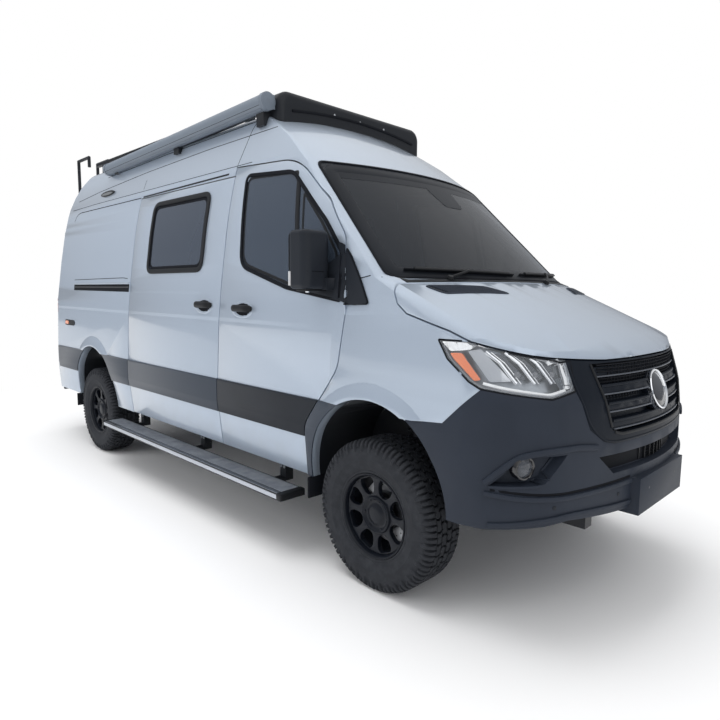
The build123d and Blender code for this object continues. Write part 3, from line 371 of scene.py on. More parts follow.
def tidied(mesh, merge=MERGE, outwards=True):
    """Merges doubles and, if asked, turns every face outwards."""
    work = bmesh.new()
    work.from_mesh(mesh)
    bmesh.ops.remove_doubles(work, verts=work.verts, dist=merge)
    if outwards:
        bmesh.ops.recalc_face_normals(work, faces=work.faces)
    work.to_mesh(mesh)
    work.free()
    return mesh


def evaluated(holder):
    """The object's shape with its modifiers, as a plain mesh; the object goes."""
    if holder.name not in bpy.context.scene.collection.objects:
        bpy.context.scene.collection.objects.link(holder)
    bpy.context.view_layer.update()
    graph = bpy.context.evaluated_depsgraph_get()
    made = bpy.data.meshes.new_from_object(
        holder.evaluated_get(graph), preserve_all_data_layers=True, depsgraph=graph
    )
    bpy.data.objects.remove(holder)
    return made


def with_modifiers(mesh, *modifiers):
    """The mesh with modifiers applied; each is (kind, {setting: value})."""
    holder = bpy.data.objects.new("holder", mesh)
    for kind, settings in modifiers:
        modifier = holder.modifiers.new(kind.lower(), kind)
        for name, value in settings.items():
            setattr(modifier, name, value)
    return evaluated(holder)


def bevelled(mesh, width, segments=2, angle=35.0):
    settings = {"width": width, "segments": segments, "limit_method": "ANGLE", "angle_limit": radians(angle)}
    return with_modifiers(
        mesh, ("BEVEL", {**settings, "use_clamp_overlap": True}), ("WEIGHTED_NORMAL", {"keep_sharp": True})
    )


def joined(*meshes):
    """Several meshes as one."""
    work = bmesh.new()
    for mesh in meshes:
        work.from_mesh(mesh)
    made = bpy.data.meshes.new("joined")
    work.to_mesh(made)
    work.free()
    return made


def moved(mesh, matrix):
    made = mesh.copy()
    made.transform(matrix)
    if matrix.determinant() < 0:
        made.flip_normals()
    return made


MIRROR = Matrix.Diagonal((1, -1, 1, 1))


def pair(name, mesh, finish, bodies=(VAN, VAN), **shading):
    """The right-hand piece and its mirror image on the left."""
    right = piece_from(f"{name}_right", mesh, finish, bodies[0], **shading)
    left = piece_from(f"{name}_left", moved(mesh, MIRROR), finish, bodies[1], **shading)
    return right, left


def lathe(profile, segments=96, closed=True):
    """A profile of (radius, distance out) turned round the Y axis."""
    points, faces = [], []
    for turn in range(segments):
        angle = tau * turn / segments
        points += [(radius * cos(angle), out, radius * sin(angle)) for radius, out in profile]
    count = len(profile)
    for turn in range(segments):
        here, there = turn * count, (turn + 1) % segments * count
        for step in range(count if closed else count - 1):
            after = (step + 1) % count
            faces.append((here + step, here + after, there + after, there + step))
    return tidied(mesh_of(points, faces))


def knob(profile, segments=24):
    """A profile of (radius, height) turned round the Z axis and closed below."""
    mesh = lathe((*profile, (0.0, profile[-1][1])), segments, closed=False)
    mesh.transform(Matrix.Rotation(pi / 2, 4, "X"))
    return mesh


def box_mesh(low, high):
    points = [(x, y, z) for x in (low[0], high[0]) for y in (low[1], high[1]) for z in (low[2], high[2])]
    faces = ((0, 1, 3, 2), (4, 6, 7, 5), (0, 4, 5, 1), (2, 3, 7, 6), (0, 2, 6, 4), (1, 5, 7, 3))
    return tidied(mesh_of(points, faces))


def soft_box(low, high, edge, segments=3):
    return bevelled(box_mesh(low, high), edge, segments)


def prism(outline, start, end):
    """An outline of (x, z) points pushed out along Y."""
    count = len(outline)
    points = [(x, start, z) for x, z in outline] + [(x, end, z) for x, z in outline]
    faces = [tuple(range(count)), tuple(range(2 * count - 1, count - 1, -1))]
    faces += [(i, (i + 1) % count, count + (i + 1) % count, count + i) for i in range(count)]
    return tidied(mesh_of(points, faces))


def tube(path, radius, segments=12, closed=False):
    """A round bar along a path of points."""
    curve = bpy.data.curves.new("bar", "CURVE")
    curve.dimensions = "3D"
    curve.bevel_depth = radius
    curve.bevel_resolution = segments // 4
    curve.use_fill_caps = True
    line = curve.splines.new("POLY")
    line.points.add(len(path) - 1)
    for point, place in zip(line.points, path):
        point.co = (*place, 1.0)
    line.use_cyclic_u = closed
    return tidied(evaluated(bpy.data.objects.new("bar", curve)))


def rounded_path(path, radius):
    """A path whose inner corners are rounded."""
    path = [Vector(point) for point in path]
    made = [path[0]]
    for before, corner, after in zip(path, path[1:], path[2:]):
        start = corner + (before - corner).normalized() * min(radius, (before - corner).length / 2)
        end = corner + (after - corner).normalized() * min(radius, (after - corner).length / 2)
        for step in range(PATH_STEPS + 1):
            share = step / PATH_STEPS
            made.append(start * (1 - share) ** 2 + corner * 2 * share * (1 - share) + end * share**2)
    made.append(path[-1])
    return made


class Pattern:
    """A Geometry Nodes tree with named inputs, which ends in real faces with a finish."""

    def __init__(self, name, **inputs):
        self.tree = bpy.data.node_groups.new(name, "GeometryNodeTree")
        new_socket = self.tree.interface.new_socket
        self.sockets = {
            label: new_socket(label, in_out="INPUT", socket_type=f"NodeSocket{kind}")
            for label, kind in {**inputs, "Finish": "Material"}.items()
        }
        new_socket("Result", in_out="OUTPUT", socket_type="NodeSocketGeometry")
        self.given = self.tree.nodes.new("NodeGroupInput").outputs

    def node(self, kind, links=None, values=None, output=0, **settings):
        made = self.tree.nodes.new(kind)
        for label, value in settings.items():
            setattr(made, label, value)
        for socket, source in (links or {}).items():
            self.tree.links.new(source, made.inputs[socket])
        for socket, value in (values or {}).items():
            made.inputs[socket].default_value = value
        return made.outputs[output]

    def maths(self, operation, first, second):
        links = {
            place: value for place, value in enumerate((first, second)) if not isinstance(value, (int, float))
        }
        values = {
            place: value for place, value in enumerate((first, second)) if isinstance(value, (int, float))
        }
        return self.node("ShaderNodeMath", links, values, operation=operation)

    def ends(self, shape):
        real = self.node("GeometryNodeRealizeInstances", {0: shape})
        finished = self.node("GeometryNodeSetMaterial", {"Geometry": real, "Material": self.given["Finish"]})
        self.tree.links.new(finished, self.tree.nodes.new("NodeGroupOutput").inputs[0])
        return self

    def made(self, mesh, finish, **values):
        holder = bpy.data.objects.new("holder", mesh)
        modifier = holder.modifiers.new("pattern", "NODES")
        modifier.node_group = self.tree
        for label, value in {**values, "Finish": finish.material}.items():
            modifier[self.sockets[label].identifier] = value
        return evaluated(holder)


def repeat_pattern():
    """Copies of the piece, each turned and moved on from the last."""
    pattern = Pattern("repeat", Piece="Geometry", Count="Int", Turn="Vector", Step="Vector")
    index = pattern.node("GeometryNodeInputIndex")
    turned = pattern.node(
        "ShaderNodeVectorMath", {0: pattern.given["Turn"], "Scale": index}, operation="SCALE"
    )
    stepped = pattern.node(
        "ShaderNodeVectorMath", {0: pattern.given["Step"], "Scale": index}, operation="SCALE"
    )
    points = pattern.node("GeometryNodePoints", {"Count": pattern.given["Count"], "Position": stepped})
    links = {"Points": points, "Instance": pattern.given["Piece"], "Rotation": turned}
    return pattern.ends(pattern.node("GeometryNodeInstanceOnPoints", links))


def moulding_pattern():
    """A rounded bar swept along a path whose points carry the way that they lean."""
    pattern = Pattern(
        "moulding", Path="Geometry", Width="Float", Proud="Float", Sink="Float", Rounding="Float"
    )
    curve = pattern.node("GeometryNodeMeshToCurve", {0: pattern.given["Path"]})
    lean = pattern.node("GeometryNodeInputNamedAttribute", values={0: "lean"}, data_type="FLOAT_VECTOR")
    leaning = pattern.node("GeometryNodeSetCurveNormal", {"Curve": curve, "Normal": lean}, mode="FREE")
    proud, sink = pattern.given["Proud"], pattern.given["Sink"]
    thick = pattern.maths("ADD", proud, sink)
    middle = pattern.maths("MULTIPLY", pattern.maths("SUBTRACT", proud, sink), 0.5)
    flat = pattern.node(
        "GeometryNodeCurvePrimitiveQuadrilateral", {"Width": thick, "Height": pattern.given["Width"]}
    )
    soft = pattern.node(
        "GeometryNodeFilletCurve", {"Curve": flat, "Radius": pattern.given["Rounding"]}, {"Count": 2},
        mode="POLY",
    )
    raised = pattern.node("ShaderNodeCombineXYZ", {0: middle})
    section = pattern.node("GeometryNodeTransform", {"Geometry": soft, "Translation": raised})
    return pattern.ends(
        pattern.node(
            "GeometryNodeCurveToMesh", {"Curve": leaning, "Profile Curve": section}, {"Fill Caps": True}
        )
    )


def scatter_pattern():
    """The piece on each point, turned by what the point carries."""
    pattern = Pattern("scatter", Places="Geometry", Piece="Object")
    turn = pattern.node("GeometryNodeInputNamedAttribute", values={0: "turn"}, data_type="FLOAT_VECTOR")
    piece = pattern.node("GeometryNodeObjectInfo", {"Object": pattern.given["Piece"]}, output="Geometry")
    links = {"Points": pattern.given["Places"], "Instance": piece, "Rotation": turn}
    return pattern.ends(pattern.node("GeometryNodeInstanceOnPoints", links))


REPEAT, MOULDING, SCATTER = repeat_pattern(), moulding_pattern(), scatter_pattern()


def repeated(mesh, finish, count, turn=(0, 0, 0), step=(0, 0, 0)):
    return REPEAT.made(mesh, finish, Count=count, Turn=turn, Step=step)


def scattered(mesh, finish, frames):
    """The mesh at each frame, a list of matrices."""
    places = mesh_of([frame.translation for frame in frames], ())
    turns = places.attributes.new("turn", "FLOAT_VECTOR", "POINT")
    turns.data.foreach_set("vector", [part for frame in frames for part in frame.to_euler()])
    piece = bpy.data.objects.new("one", mesh)
    made = SCATTER.made(places, finish, Piece=piece)
    bpy.data.objects.remove(piece)
    return made


def studs(name, mesh, finish, frames, make=piece_from):
    """Many like parts as one piece, or with make=pair as one on each side."""
    make(name, scattered(mesh, finish, frames), finish)


def dressed(node, finish, edge=0.0, other=None, without=None):
    """A merged, softly shaded and bevelled copy of a CAD node, which stands for it.

    `other` is a second finish with the test of the faces that get it.
    `without` is the test of the faces that are left out.
    """
    mesh = NODES[node].data.copy()
    work = bmesh.new()
    work.from_mesh(mesh)
    bmesh.ops.remove_doubles(work, verts=work.verts, dist=MERGE)
    bmesh.ops.dissolve_limit(work, angle_limit=radians(0.4), verts=work.verts, edges=work.edges)
    if without:
        bmesh.ops.delete(
            work, geom=[face for face in work.faces if without(face.calc_center_median())], context="FACES"
        )
    work.to_mesh(mesh)
    work.free()
    shaded(mesh, CAD_SHARP)
    if edge:
        mesh = bevelled(mesh, edge)
    else:
        mesh = with_modifiers(mesh, ("WEIGHTED_NORMAL", {"keep_sharp": True}))
    piece = piece_from(f"{node}_finished", mesh, finish, BODY_OF[node], CAD_SHARP)
    if other:
        piece.data.materials.append(other[0].material)
        for face in piece.data.polygons:
            face.material_index = int(other[1](face.center, face.normal))
    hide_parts(node)
    return piece


# ---------------------------------------------------------------- pieces laid on the body's skin


def spot(ahead, across, height):
    """A point given ahead of the front axle, to the left and up."""
    return Vector((AXLE_F + ahead, across, height))


def skin_of(*nodes):
    """A tree of the nodes' faces, for finding places on them."""
    points, faces = [], []
    for node in nodes:
        mesh, start = NODES[node].data, len(points)
        points += [vertex.co.copy() for vertex in mesh.vertices]
        faces += [[start + corner for corner in face.vertices] for face in mesh.polygons]
    return BVHTree.FromPolygons(points, faces)


def found(tree, start, way, reach):
    """Where a ray meets the skin, or the nearest place to where it was meant to."""
    place, normal, _, _ = tree.ray_cast(start, way)
    if place is None:
        place, normal, _, _ = tree.find_nearest(start + way * reach)
    return place, normal if normal.dot(way) < 0 else -normal


# A caster takes two drawn measures and gives the place on the skin and its normal.


def from_side(tree, start=-1.8, way=1):
    """Drawn over the right side: distance ahead and height."""
    return lambda ahead, height: found(tree, spot(ahead, start, height), Vector((0, way, 0)), 0.85)


def from_top(tree):
    """Drawn over the top: distance ahead and to the left."""
    return lambda ahead, across: found(tree, spot(ahead, across, 3.6), Vector((0, 0, -1)), 1.2)


def from_front(tree, start=1.6):
    """Drawn over the front: distance to the left and height."""
    return lambda across, height: found(tree, spot(start, across, height), Vector((-1, 0, 0)), 0.7)


def from_rear(tree):
    """Drawn over the rear: distance to the left and height."""
    return lambda across, height: found(tree, spot(-5.6, across, height), Vector((1, 0, 0)), 0.85)


CORNER_WAY = Vector((-cos(pi / 4), sin(pi / 4), 0))
CORNER_ACROSS = Vector((sin(pi / 4), cos(pi / 4), 0))


def from_corner(tree):
    """Drawn over the right front corner: distance across it towards the middle, and height."""
    return lambda along, height: found(
        tree, spot(0, 0, height) + CORNER_ACROSS * along - CORNER_WAY * 2.2, CORNER_WAY, 1.0
    )


def deep(caster, depth):
    """The same places, sunk behind the skin."""

    def sunk(u, v):
        place, normal = caster(u, v)
        return place - normal * depth, normal

    return sunk


def flat_sheet(u, v):
    """Leaves an outline on the X and Y plane."""
    return Vector((u, v, 0)), Vector((0, 0, 1))


def line_on(caster, points, spacing=0.05, closed=False):
    """Places on the skin along a drawn line."""
    points = [Vector(point[:2]) for point in points]
    places = []
    for start, end in zip(points, points[1:] + (points[:1] if closed else [])):
        steps = max(1, round((end - start).length / spacing))
        places += [caster(*(start + (end - start) * step / steps)) for step in range(steps)]
    return places if closed else [*places, caster(*points[-1])]


# A moulding's rounding: the most it may take of the smaller side, and the share of that which it takes
ROUND_LIMIT, ROUND_SHARE = 0.49, 0.7


def ribbon(places, width, proud, sink=0.003, closed=False):
    """A moulding along places on the skin."""
    count = len(places)
    edges = [(index, (index + 1) % count) for index in range(count if closed else count - 1)]
    path = mesh_of([place for place, _ in places], (), edges)
    lean = path.attributes.new("lean", "FLOAT_VECTOR", "POINT")
    lean.data.foreach_set("vector", [part for _, normal in places for part in normal])
    sizes = {
        "Width": width, "Proud": proud, "Sink": sink,
        "Rounding": min(proud + sink, width) * ROUND_LIMIT * ROUND_SHARE,
    }
    return tidied(MOULDING.made(path, SEAL, **sizes))


def plate(outline, caster, proud, step=0.05, sink=0.004):
    """A drawn outline laid on the skin as a thin plate."""
    work = bmesh.new()
    work.faces.new([work.verts.new((*point[:2], 0)) for point in outline])
    for axis, way in ((0, (1, 0, 0)), (1, (0, 1, 0))):
        low, high = min(point[axis] for point in outline), max(point[axis] for point in outline)
        count = max(1, round((high - low) / step))
        for cut in range(1, count):
            centre = [0.0, 0.0, 0.0]
            centre[axis] = low + (high - low) * cut / count
            everything = work.verts[:] + work.edges[:] + work.faces[:]
            bmesh.ops.bisect_plane(work, geom=everything, plane_co=centre, plane_no=way)
    tops = work.faces[:]
    border = [edge for edge in work.edges if edge.is_boundary]
    skirt = bmesh.ops.extrude_edge_only(work, edges=border)["geom"]
    sunk = {item for item in skirt if isinstance(item, bmesh.types.BMVert)}
    laid = {vertex: caster(vertex.co.x, vertex.co.y) for vertex in work.verts}
    for vertex, (place, normal) in laid.items():
        vertex.co = place + normal * (-sink if vertex in sunk else proud)
    bmesh.ops.recalc_face_normals(work, faces=work.faces)
    work.normal_update()
    if sum(face.normal.dot(laid[face.verts[0]][1]) * face.calc_area() for face in tops) < 0:
        bmesh.ops.reverse_faces(work, faces=work.faces)
    mesh = bpy.data.meshes.new("plate")
    work.to_mesh(mesh)
    work.free()
    return mesh


def rounded(outline, radius, steps=5, closed=True):
    """A drawn outline with rounded corners; a corner may carry its own radius."""
    points = [Vector(point[:2]) for point in outline]
    radii = [point[2] if len(point) > 2 else radius for point in outline]
    made, count = [], len(points)
    for index, corner in enumerate(points):
        if not closed and index in (0, count - 1):
            made.append(tuple(corner))
            continue
        before, after = points[index - 1], points[(index + 1) % count]
        reach = min(radii[index], (before - corner).length * 0.45, (after - corner).length * 0.45)
        start = corner + (before - corner).normalized() * reach
        end = corner + (after - corner).normalized() * reach
        for step in range(steps + 1):
            share = step / steps
            made.append(tuple(start * (1 - share) ** 2 + corner * 2 * share * (1 - share) + end * share**2))
    return made


def drawn(caster, points, radius, spacing=0.05, closed=False):
    """Places on the skin along a drawn line with rounded corners."""
    return line_on(caster, rounded(points, radius, closed=closed), spacing, closed)


def oval(centre, half):
    turns = [tau * step / OVAL_STEPS for step in range(OVAL_STEPS)]
    return [(centre[0] + half[0] * cos(turn), centre[1] + half[1] * sin(turn)) for turn in turns]


def grown(outline, amount):
    """The outline moved outwards along its corners' middle lines."""
    points = [Vector(point[:2]) for point in outline]
    turning = sum(a.x * b.y - b.x * a.y for a, b in zip(points, points[1:] + points[:1]))
    made = []
    for index, corner in enumerate(points):
        before = (corner - points[index - 1]).normalized()
        after = (points[(index + 1) % len(points)] - corner).normalized()
        flat = Vector((before.y, -before.x)) * (1 if turning > 0 else -1)
        out = Vector((before.y + after.y, -before.x - after.x)).normalized() * (1 if turning > 0 else -1)
        made.append((*(corner + out * (amount / max(0.4, out.dot(flat)))), *outline[index][2:]))
    return made


def facing(place, normal, roll=Vector((0, 0, 1))):
    """A frame at a place on the skin: X across, Y up the skin and Z outwards."""
    across = roll.cross(normal).normalized()
    turn = Matrix((across, normal.cross(across), normal)).transposed().to_4x4()
    return Matrix.Translation(place) @ turn


# ---------------------------------------------------------------- wheels

TREAD_PITCHES = 40
LUG_BASE = TYRE_RADIUS - 0.014
# Tread blocks: distance out of the near and far edge, start and end along the pitch, skew
TREAD_BLOCKS = (
    (-0.074, -0.043, 0.04, 0.84, 0.1),
    (-0.036, -0.004, 0.46, 1.26, -0.12),
    (0.004, 0.036, 0.06, 0.86, 0.12),
    (0.043, 0.074, 0.5, 1.3, -0.1),
)
# Shoulder blocks: radius and distance out down the tyre's side
LONG_LUG = ((0.4, 0.08), (0.399, 0.096), (0.392, 0.11), (0.376, 0.1235), (0.356, 0.1285), (0.343, 0.1285))
SHORT_LUG = ((0.4, 0.08), (0.399, 0.096), (0.392, 0.11), (0.378, 0.121), (0.369, 0.1225))
# The tyre's section without its blocks: radius and distance out, from the outer bead to the middle
CARCASS = (
    (0.2225, 0.104), (0.227, 0.1105), (0.234, 0.1125), (0.24, 0.111), (0.248, 0.116), (0.265, 0.123),
    (0.29, 0.1275), (0.292, 0.1285), (0.295, 0.1285), (0.297, 0.128), (0.32, 0.1275), (0.345, 0.1235),
    (0.365, 0.115), (0.38, 0.102), (0.3862, 0.085), (0.3868, 0.04), (0.3868, 0.0),
)


def on_wheel(radius, along, out):
    """A point at a share of the tread's pitch round the wheel."""
    angle = tau * along / TREAD_PITCHES
    return (radius * cos(angle), out, radius * sin(angle))


def tread_block(near, far, start, end, skew):
    """A block with a notch in each end, and a bend in each of its other two edges."""
    middle = (start + end) / 2
    outline = (
        (near, start), ((near + far) / 2, start + skew), (far, start), (far, middle - 0.05),
        (far - 0.008, middle), (far, middle + 0.05), (far, end), ((near + far) / 2, end + skew), (near, end),
        (near, middle + 0.05), (near + 0.008, middle), (near, middle - 0.05),
    )
    count = len(outline)
    centre_out = (near + far) / 2
    points = []
    for radius, shrink in ((LUG_BASE, 1.04), (TYRE_RADIUS - 0.0012, 1.0), (TYRE_RADIUS - 0.0001, 0.93)):
        for out, along in outline:
            points.append(
                on_wheel(radius, middle + (along - middle) * shrink, centre_out + (out - centre_out) * shrink)
            )
    faces = [tuple(range(2 * count, 3 * count))]
    for ring in (0, 1):
        for i in range(count):
            a, b = ring * count + i, ring * count + (i + 1) % count
            faces.append((a, b, b + count, a + count))
    return mesh_of(points, faces)


def shoulder_lug(profile, start, end, side):
    """A block that runs over the shoulder and down the tyre's side."""
    points, faces = [], []
    for step, (radius, out) in enumerate(profile):
        narrow = 0.04 + 0.02 * step
        for along, sink in ((start, 0.012), (start + narrow, 0.0), (end - narrow, 0.0), (end, 0.012)):
            points.append(on_wheel(radius - sink * 0.9, along, side * (out - sink * 0.5)))
    for step in range(len(profile) - 1):
        for i in range(3):
            a = step * 4 + i
            faces.append((a, a + 1, a + 5, a + 4))
    last = (len(profile) - 1) * 4
    faces.append((0, 1, 2, 3))
    faces.append((last, last + 1, last + 2, last + 3))
    return mesh_of(points, faces)


def tyre_mesh():
    pitch = [tread_block(*block) for block in TREAD_BLOCKS]
    for side in (-1, 1):
        pitch.append(shoulder_lug(LONG_LUG, 0.03, 0.47, side))
        pitch.append(shoulder_lug(SHORT_LUG, 0.55, 0.95, side))
    tread = repeated(tidied(joined(*pitch)), RUBBER, TREAD_PITCHES, turn=(0, tau / TREAD_PITCHES, 0))
    mirrored = tuple((radius, -out) for radius, out in reversed(CARCASS[:-1]))
    carcass = lathe(CARCASS + mirrored, 160)
    return joined(carcass, tread)


SPOKES, WHEEL_NUTS, DISC_HOLES = 8, 6, 24
SPOKE_FRONT, SPOKE_BACK = 0.084, 0.052
# Sections of the wheel's ring and of its hub: radius and distance out
RIM_PROFILE = (
    (0.221, 0.104), (0.2235, 0.1085), (0.2225, 0.112), (0.218, 0.1125), (0.212, 0.109), (0.2085, 0.1),
    (0.206, 0.086), (0.2045, 0.05), (0.196, 0.01), (0.193, -0.06), (0.198, -0.104), (0.22, -0.112),
    (0.2225, -0.106), (0.202, -0.098), (0.1985, -0.06), (0.201, 0.005), (0.211, 0.06), (0.215, 0.098),
)
HUB_PROFILE = (
    (0.032, 0.03), (0.1, 0.054), (0.1, 0.08), (0.096, 0.088), (0.09, 0.0905), (0.084, 0.088),
    (0.078, 0.08), (0.066, 0.076), (0.056, 0.078), (0.048, 0.086), (0.03, 0.0905), (0.0, 0.0915),
    (0.0, 0.06), (0.032, 0.06),
)
# Half of a window's edge: radius and distance from the spoke's middle line
WINDOW_EDGE = (
    (0.101, 0.0395), (0.108, 0.0265), (0.122, 0.0185), (0.145, 0.016), (0.168, 0.018), (0.186, 0.027),
    (0.195, 0.042),
)


def spoke_sector():
    """One eighth of the wheel's face, with half a window on each side of its spoke."""
    half = pi / SPOKES
    inner = [(0.094 * cos(a), 0.094 * sin(a)) for a in (-half, 0.0, half)]
    outer = [(0.205 * cos(a), 0.205 * sin(a)) for a in (half, half / 2, 0.0, -half / 2, -half)]
    first, last = ((radius * cos(half), radius * sin(half)) for radius in (0.099, 0.1965))
    upper = [first, *WINDOW_EDGE, last]
    lower = [(x, -y) for x, y in reversed(upper)]
    outline = inner + upper + outer + lower
    count = len(outline)
    points = []
    for across, along in outline:
        dish = 0.006 * (1 - (across / 0.205) ** 2)
        points.append((across, SPOKE_FRONT - dish, along))
    points += [(across, SPOKE_BACK, along) for across, along in outline]
    faces = [tuple(range(count)), tuple(range(2 * count - 1, count - 1, -1))]
    open_walls = {2, len(inner) + len(upper) - 1, len(inner) + len(upper) + len(outer) - 1, count - 1}
    for i in range(count):
        if i not in open_walls:
            after = (i + 1) % count
            faces.append((i, after, count + after, count + i))
    return mesh_of(points, faces)


def rim_mesh():
    face = tidied(repeated(spoke_sector(), WHEEL_PAINT, SPOKES, turn=(0, tau / SPOKES, 0)), 0.0003)
    face = bevelled(face, 0.003, 2, 40.0)
    nut = tidied(
        lathe(((0.0, 0.094), (0.0085, 0.094), (0.0105, 0.091), (0.0105, 0.072), (0.0, 0.072)), 6, False)
    )
    nut.transform(Matrix.Translation((0.083, -0.008, 0)))
    nuts = repeated(nut, WHEEL_PAINT, WHEEL_NUTS, turn=(0, tau / WHEEL_NUTS, 0))
    return joined(lathe(RIM_PROFILE, 128), face, lathe(HUB_PROFILE, 72, False), nuts)


def brake_mesh():
    """The brake disc, and the dark holes round it."""
    disc = lathe(
        ((0.062, -0.028), (0.165, -0.028), (0.165, -0.008), (0.11, -0.008), (0.105, 0.02), (0.062, 0.02))
    )
    hole = lathe(((0.0, -0.0072), (0.004, -0.0072), (0.004, -0.012), (0.0, -0.012)), 10, False)
    hole.transform(Matrix.Translation((0.138, 0, 0)))
    return disc, repeated(hole, SEAL, DISC_HOLES, turn=(0, tau / DISC_HOLES, 0))


def caliper_mesh():
    """A brake caliper over the rear edge of the disc."""
    points, faces = [], []
    ring = (
        (0.112, -0.04), (0.112, 0.012), (0.15, 0.016), (0.176, 0.012), (0.182, -0.01), (0.176, -0.044),
        (0.15, -0.048),
    )
    steps = 9
    for step in range(steps):
        angle = radians(152 + 56 * step / (steps - 1))
        points += [(radius * cos(angle), out, radius * sin(angle)) for radius, out in ring]
    count = len(ring)
    for step in range(steps - 1):
        for i in range(count):
            a, b = step * count + i, step * count + (i + 1) % count
            faces.append((a, b, b + count, a + count))
    faces += [tuple(range(count)), tuple(range(steps * count - 1, (steps - 1) * count - 1, -1))]
    return bevelled(tidied(mesh_of(points, faces)), 0.004)


def make_wheels():
    tyre, rim, caliper = tyre_mesh(), rim_mesh(), caliper_mesh()
    disc, vents = brake_mesh()
    for place, ahead in (("front", AXLE_F), ("rear", AXLE_R)):
        for side, sign in (("right", -1), ("left", 1)):
            body = f"wheel_{place}_{side}"
            centre = Matrix.Translation((ahead, sign * HALF_TRACK, TYRE_RADIUS))
            at = centre @ Matrix.Diagonal((1, sign, 1, 1))
            made = piece_from(f"{place}_{side}_tyre", moved(tyre, at), RUBBER, body, sharp=28)
            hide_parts(f"tyre_{place}_{side}")
            made = piece_from(f"{place}_{side}_rim", moved(rim, at), WHEEL_PAINT, body, sharp=32)
            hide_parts(f"rim_{place}_{side}")
            piece_from(f"{place}_{side}_disc", moved(disc, at), DISC_STEEL, body)
            piece_from(f"{place}_{side}_disc_holes", moved(vents, at), SEAL, body)
            carrier = f"knuckle_{side}" if place == "front" else VAN
            piece_from(f"{place}_{side}_caliper", moved(caliper, at), STEEL, carrier)


# ---------------------------------------------------------------- outside pieces

# The drawn lines of the side, ahead of the front axle and up, with each corner's rounding
FRONT_WINDOW = (
    (-1.275, 2.29, 0.05), (-1.215, 1.716, 0.09), (-0.717, 1.58, 0.02), (-0.255, 1.515, 0.02),
    (-0.275, 1.76, 0.03), (-0.431, 1.935, 0.02), (-0.789, 2.252, 0.06),
)
MAIN_PANE = ((-1.275, 2.29, 0.05), (-1.215, 1.716, 0.09), (-0.622, 1.56, 0.01), (-0.73, 2.262, 0.01))
QUARTER_PANE = (
    (-0.588, 1.6, 0.01), (-0.652, 2.115, 0.02), (-0.618, 2.085, 0.02), (-0.455, 1.925, 0.02),
    (-0.312, 1.752, 0.03), (-0.3, 1.6, 0.02),
)
SIDE_WINDOW = ((-2.555, 1.704, 0.07), (-1.722, 1.704, 0.07), (-1.722, 2.223, 0.07), (-2.555, 2.223, 0.07))
FRONT_DOORS = ("front_door_right", "front_door_left")
REAR_DOORS = ("rear_door_right", "rear_door_left")
CUP_HALF = (0.118, 0.056)  # the pressed cup behind a side handle, half its length and height
# Seams and pressed lines, all drawn as thin dark strips: drawn places and width. The seams are joints; on the
# pressed lines the dark is painted shade in their creases
SEAMS_AND_CREASE_SHADE = (
    (((-1.262, 2.383), (-3.9, 2.372), (-4.52, 2.362)), 0.005),
    (((-1.08, 2.586), (-1.9, 2.578), (-2.9, 2.546), (-3.9, 2.491), (-4.42, 2.445)), 0.006),
    (((-1.434, 2.377), (-1.377, 2.62), (-1.345, 2.668)), 0.006),
    (((-1.345, 2.674), (-2.6, 2.656), (-3.8, 2.62)), 0.006),
    (((-2.875, 2.32), (-4.28, 2.318), (-4.36, 2.3), (-4.4, 2.235)), 0.008),
    (((-2.862, 2.475), (-2.868, 2.392)), 0.004),
    (((-0.12, 1.622), (0.03, 1.648)), 0.006),
)


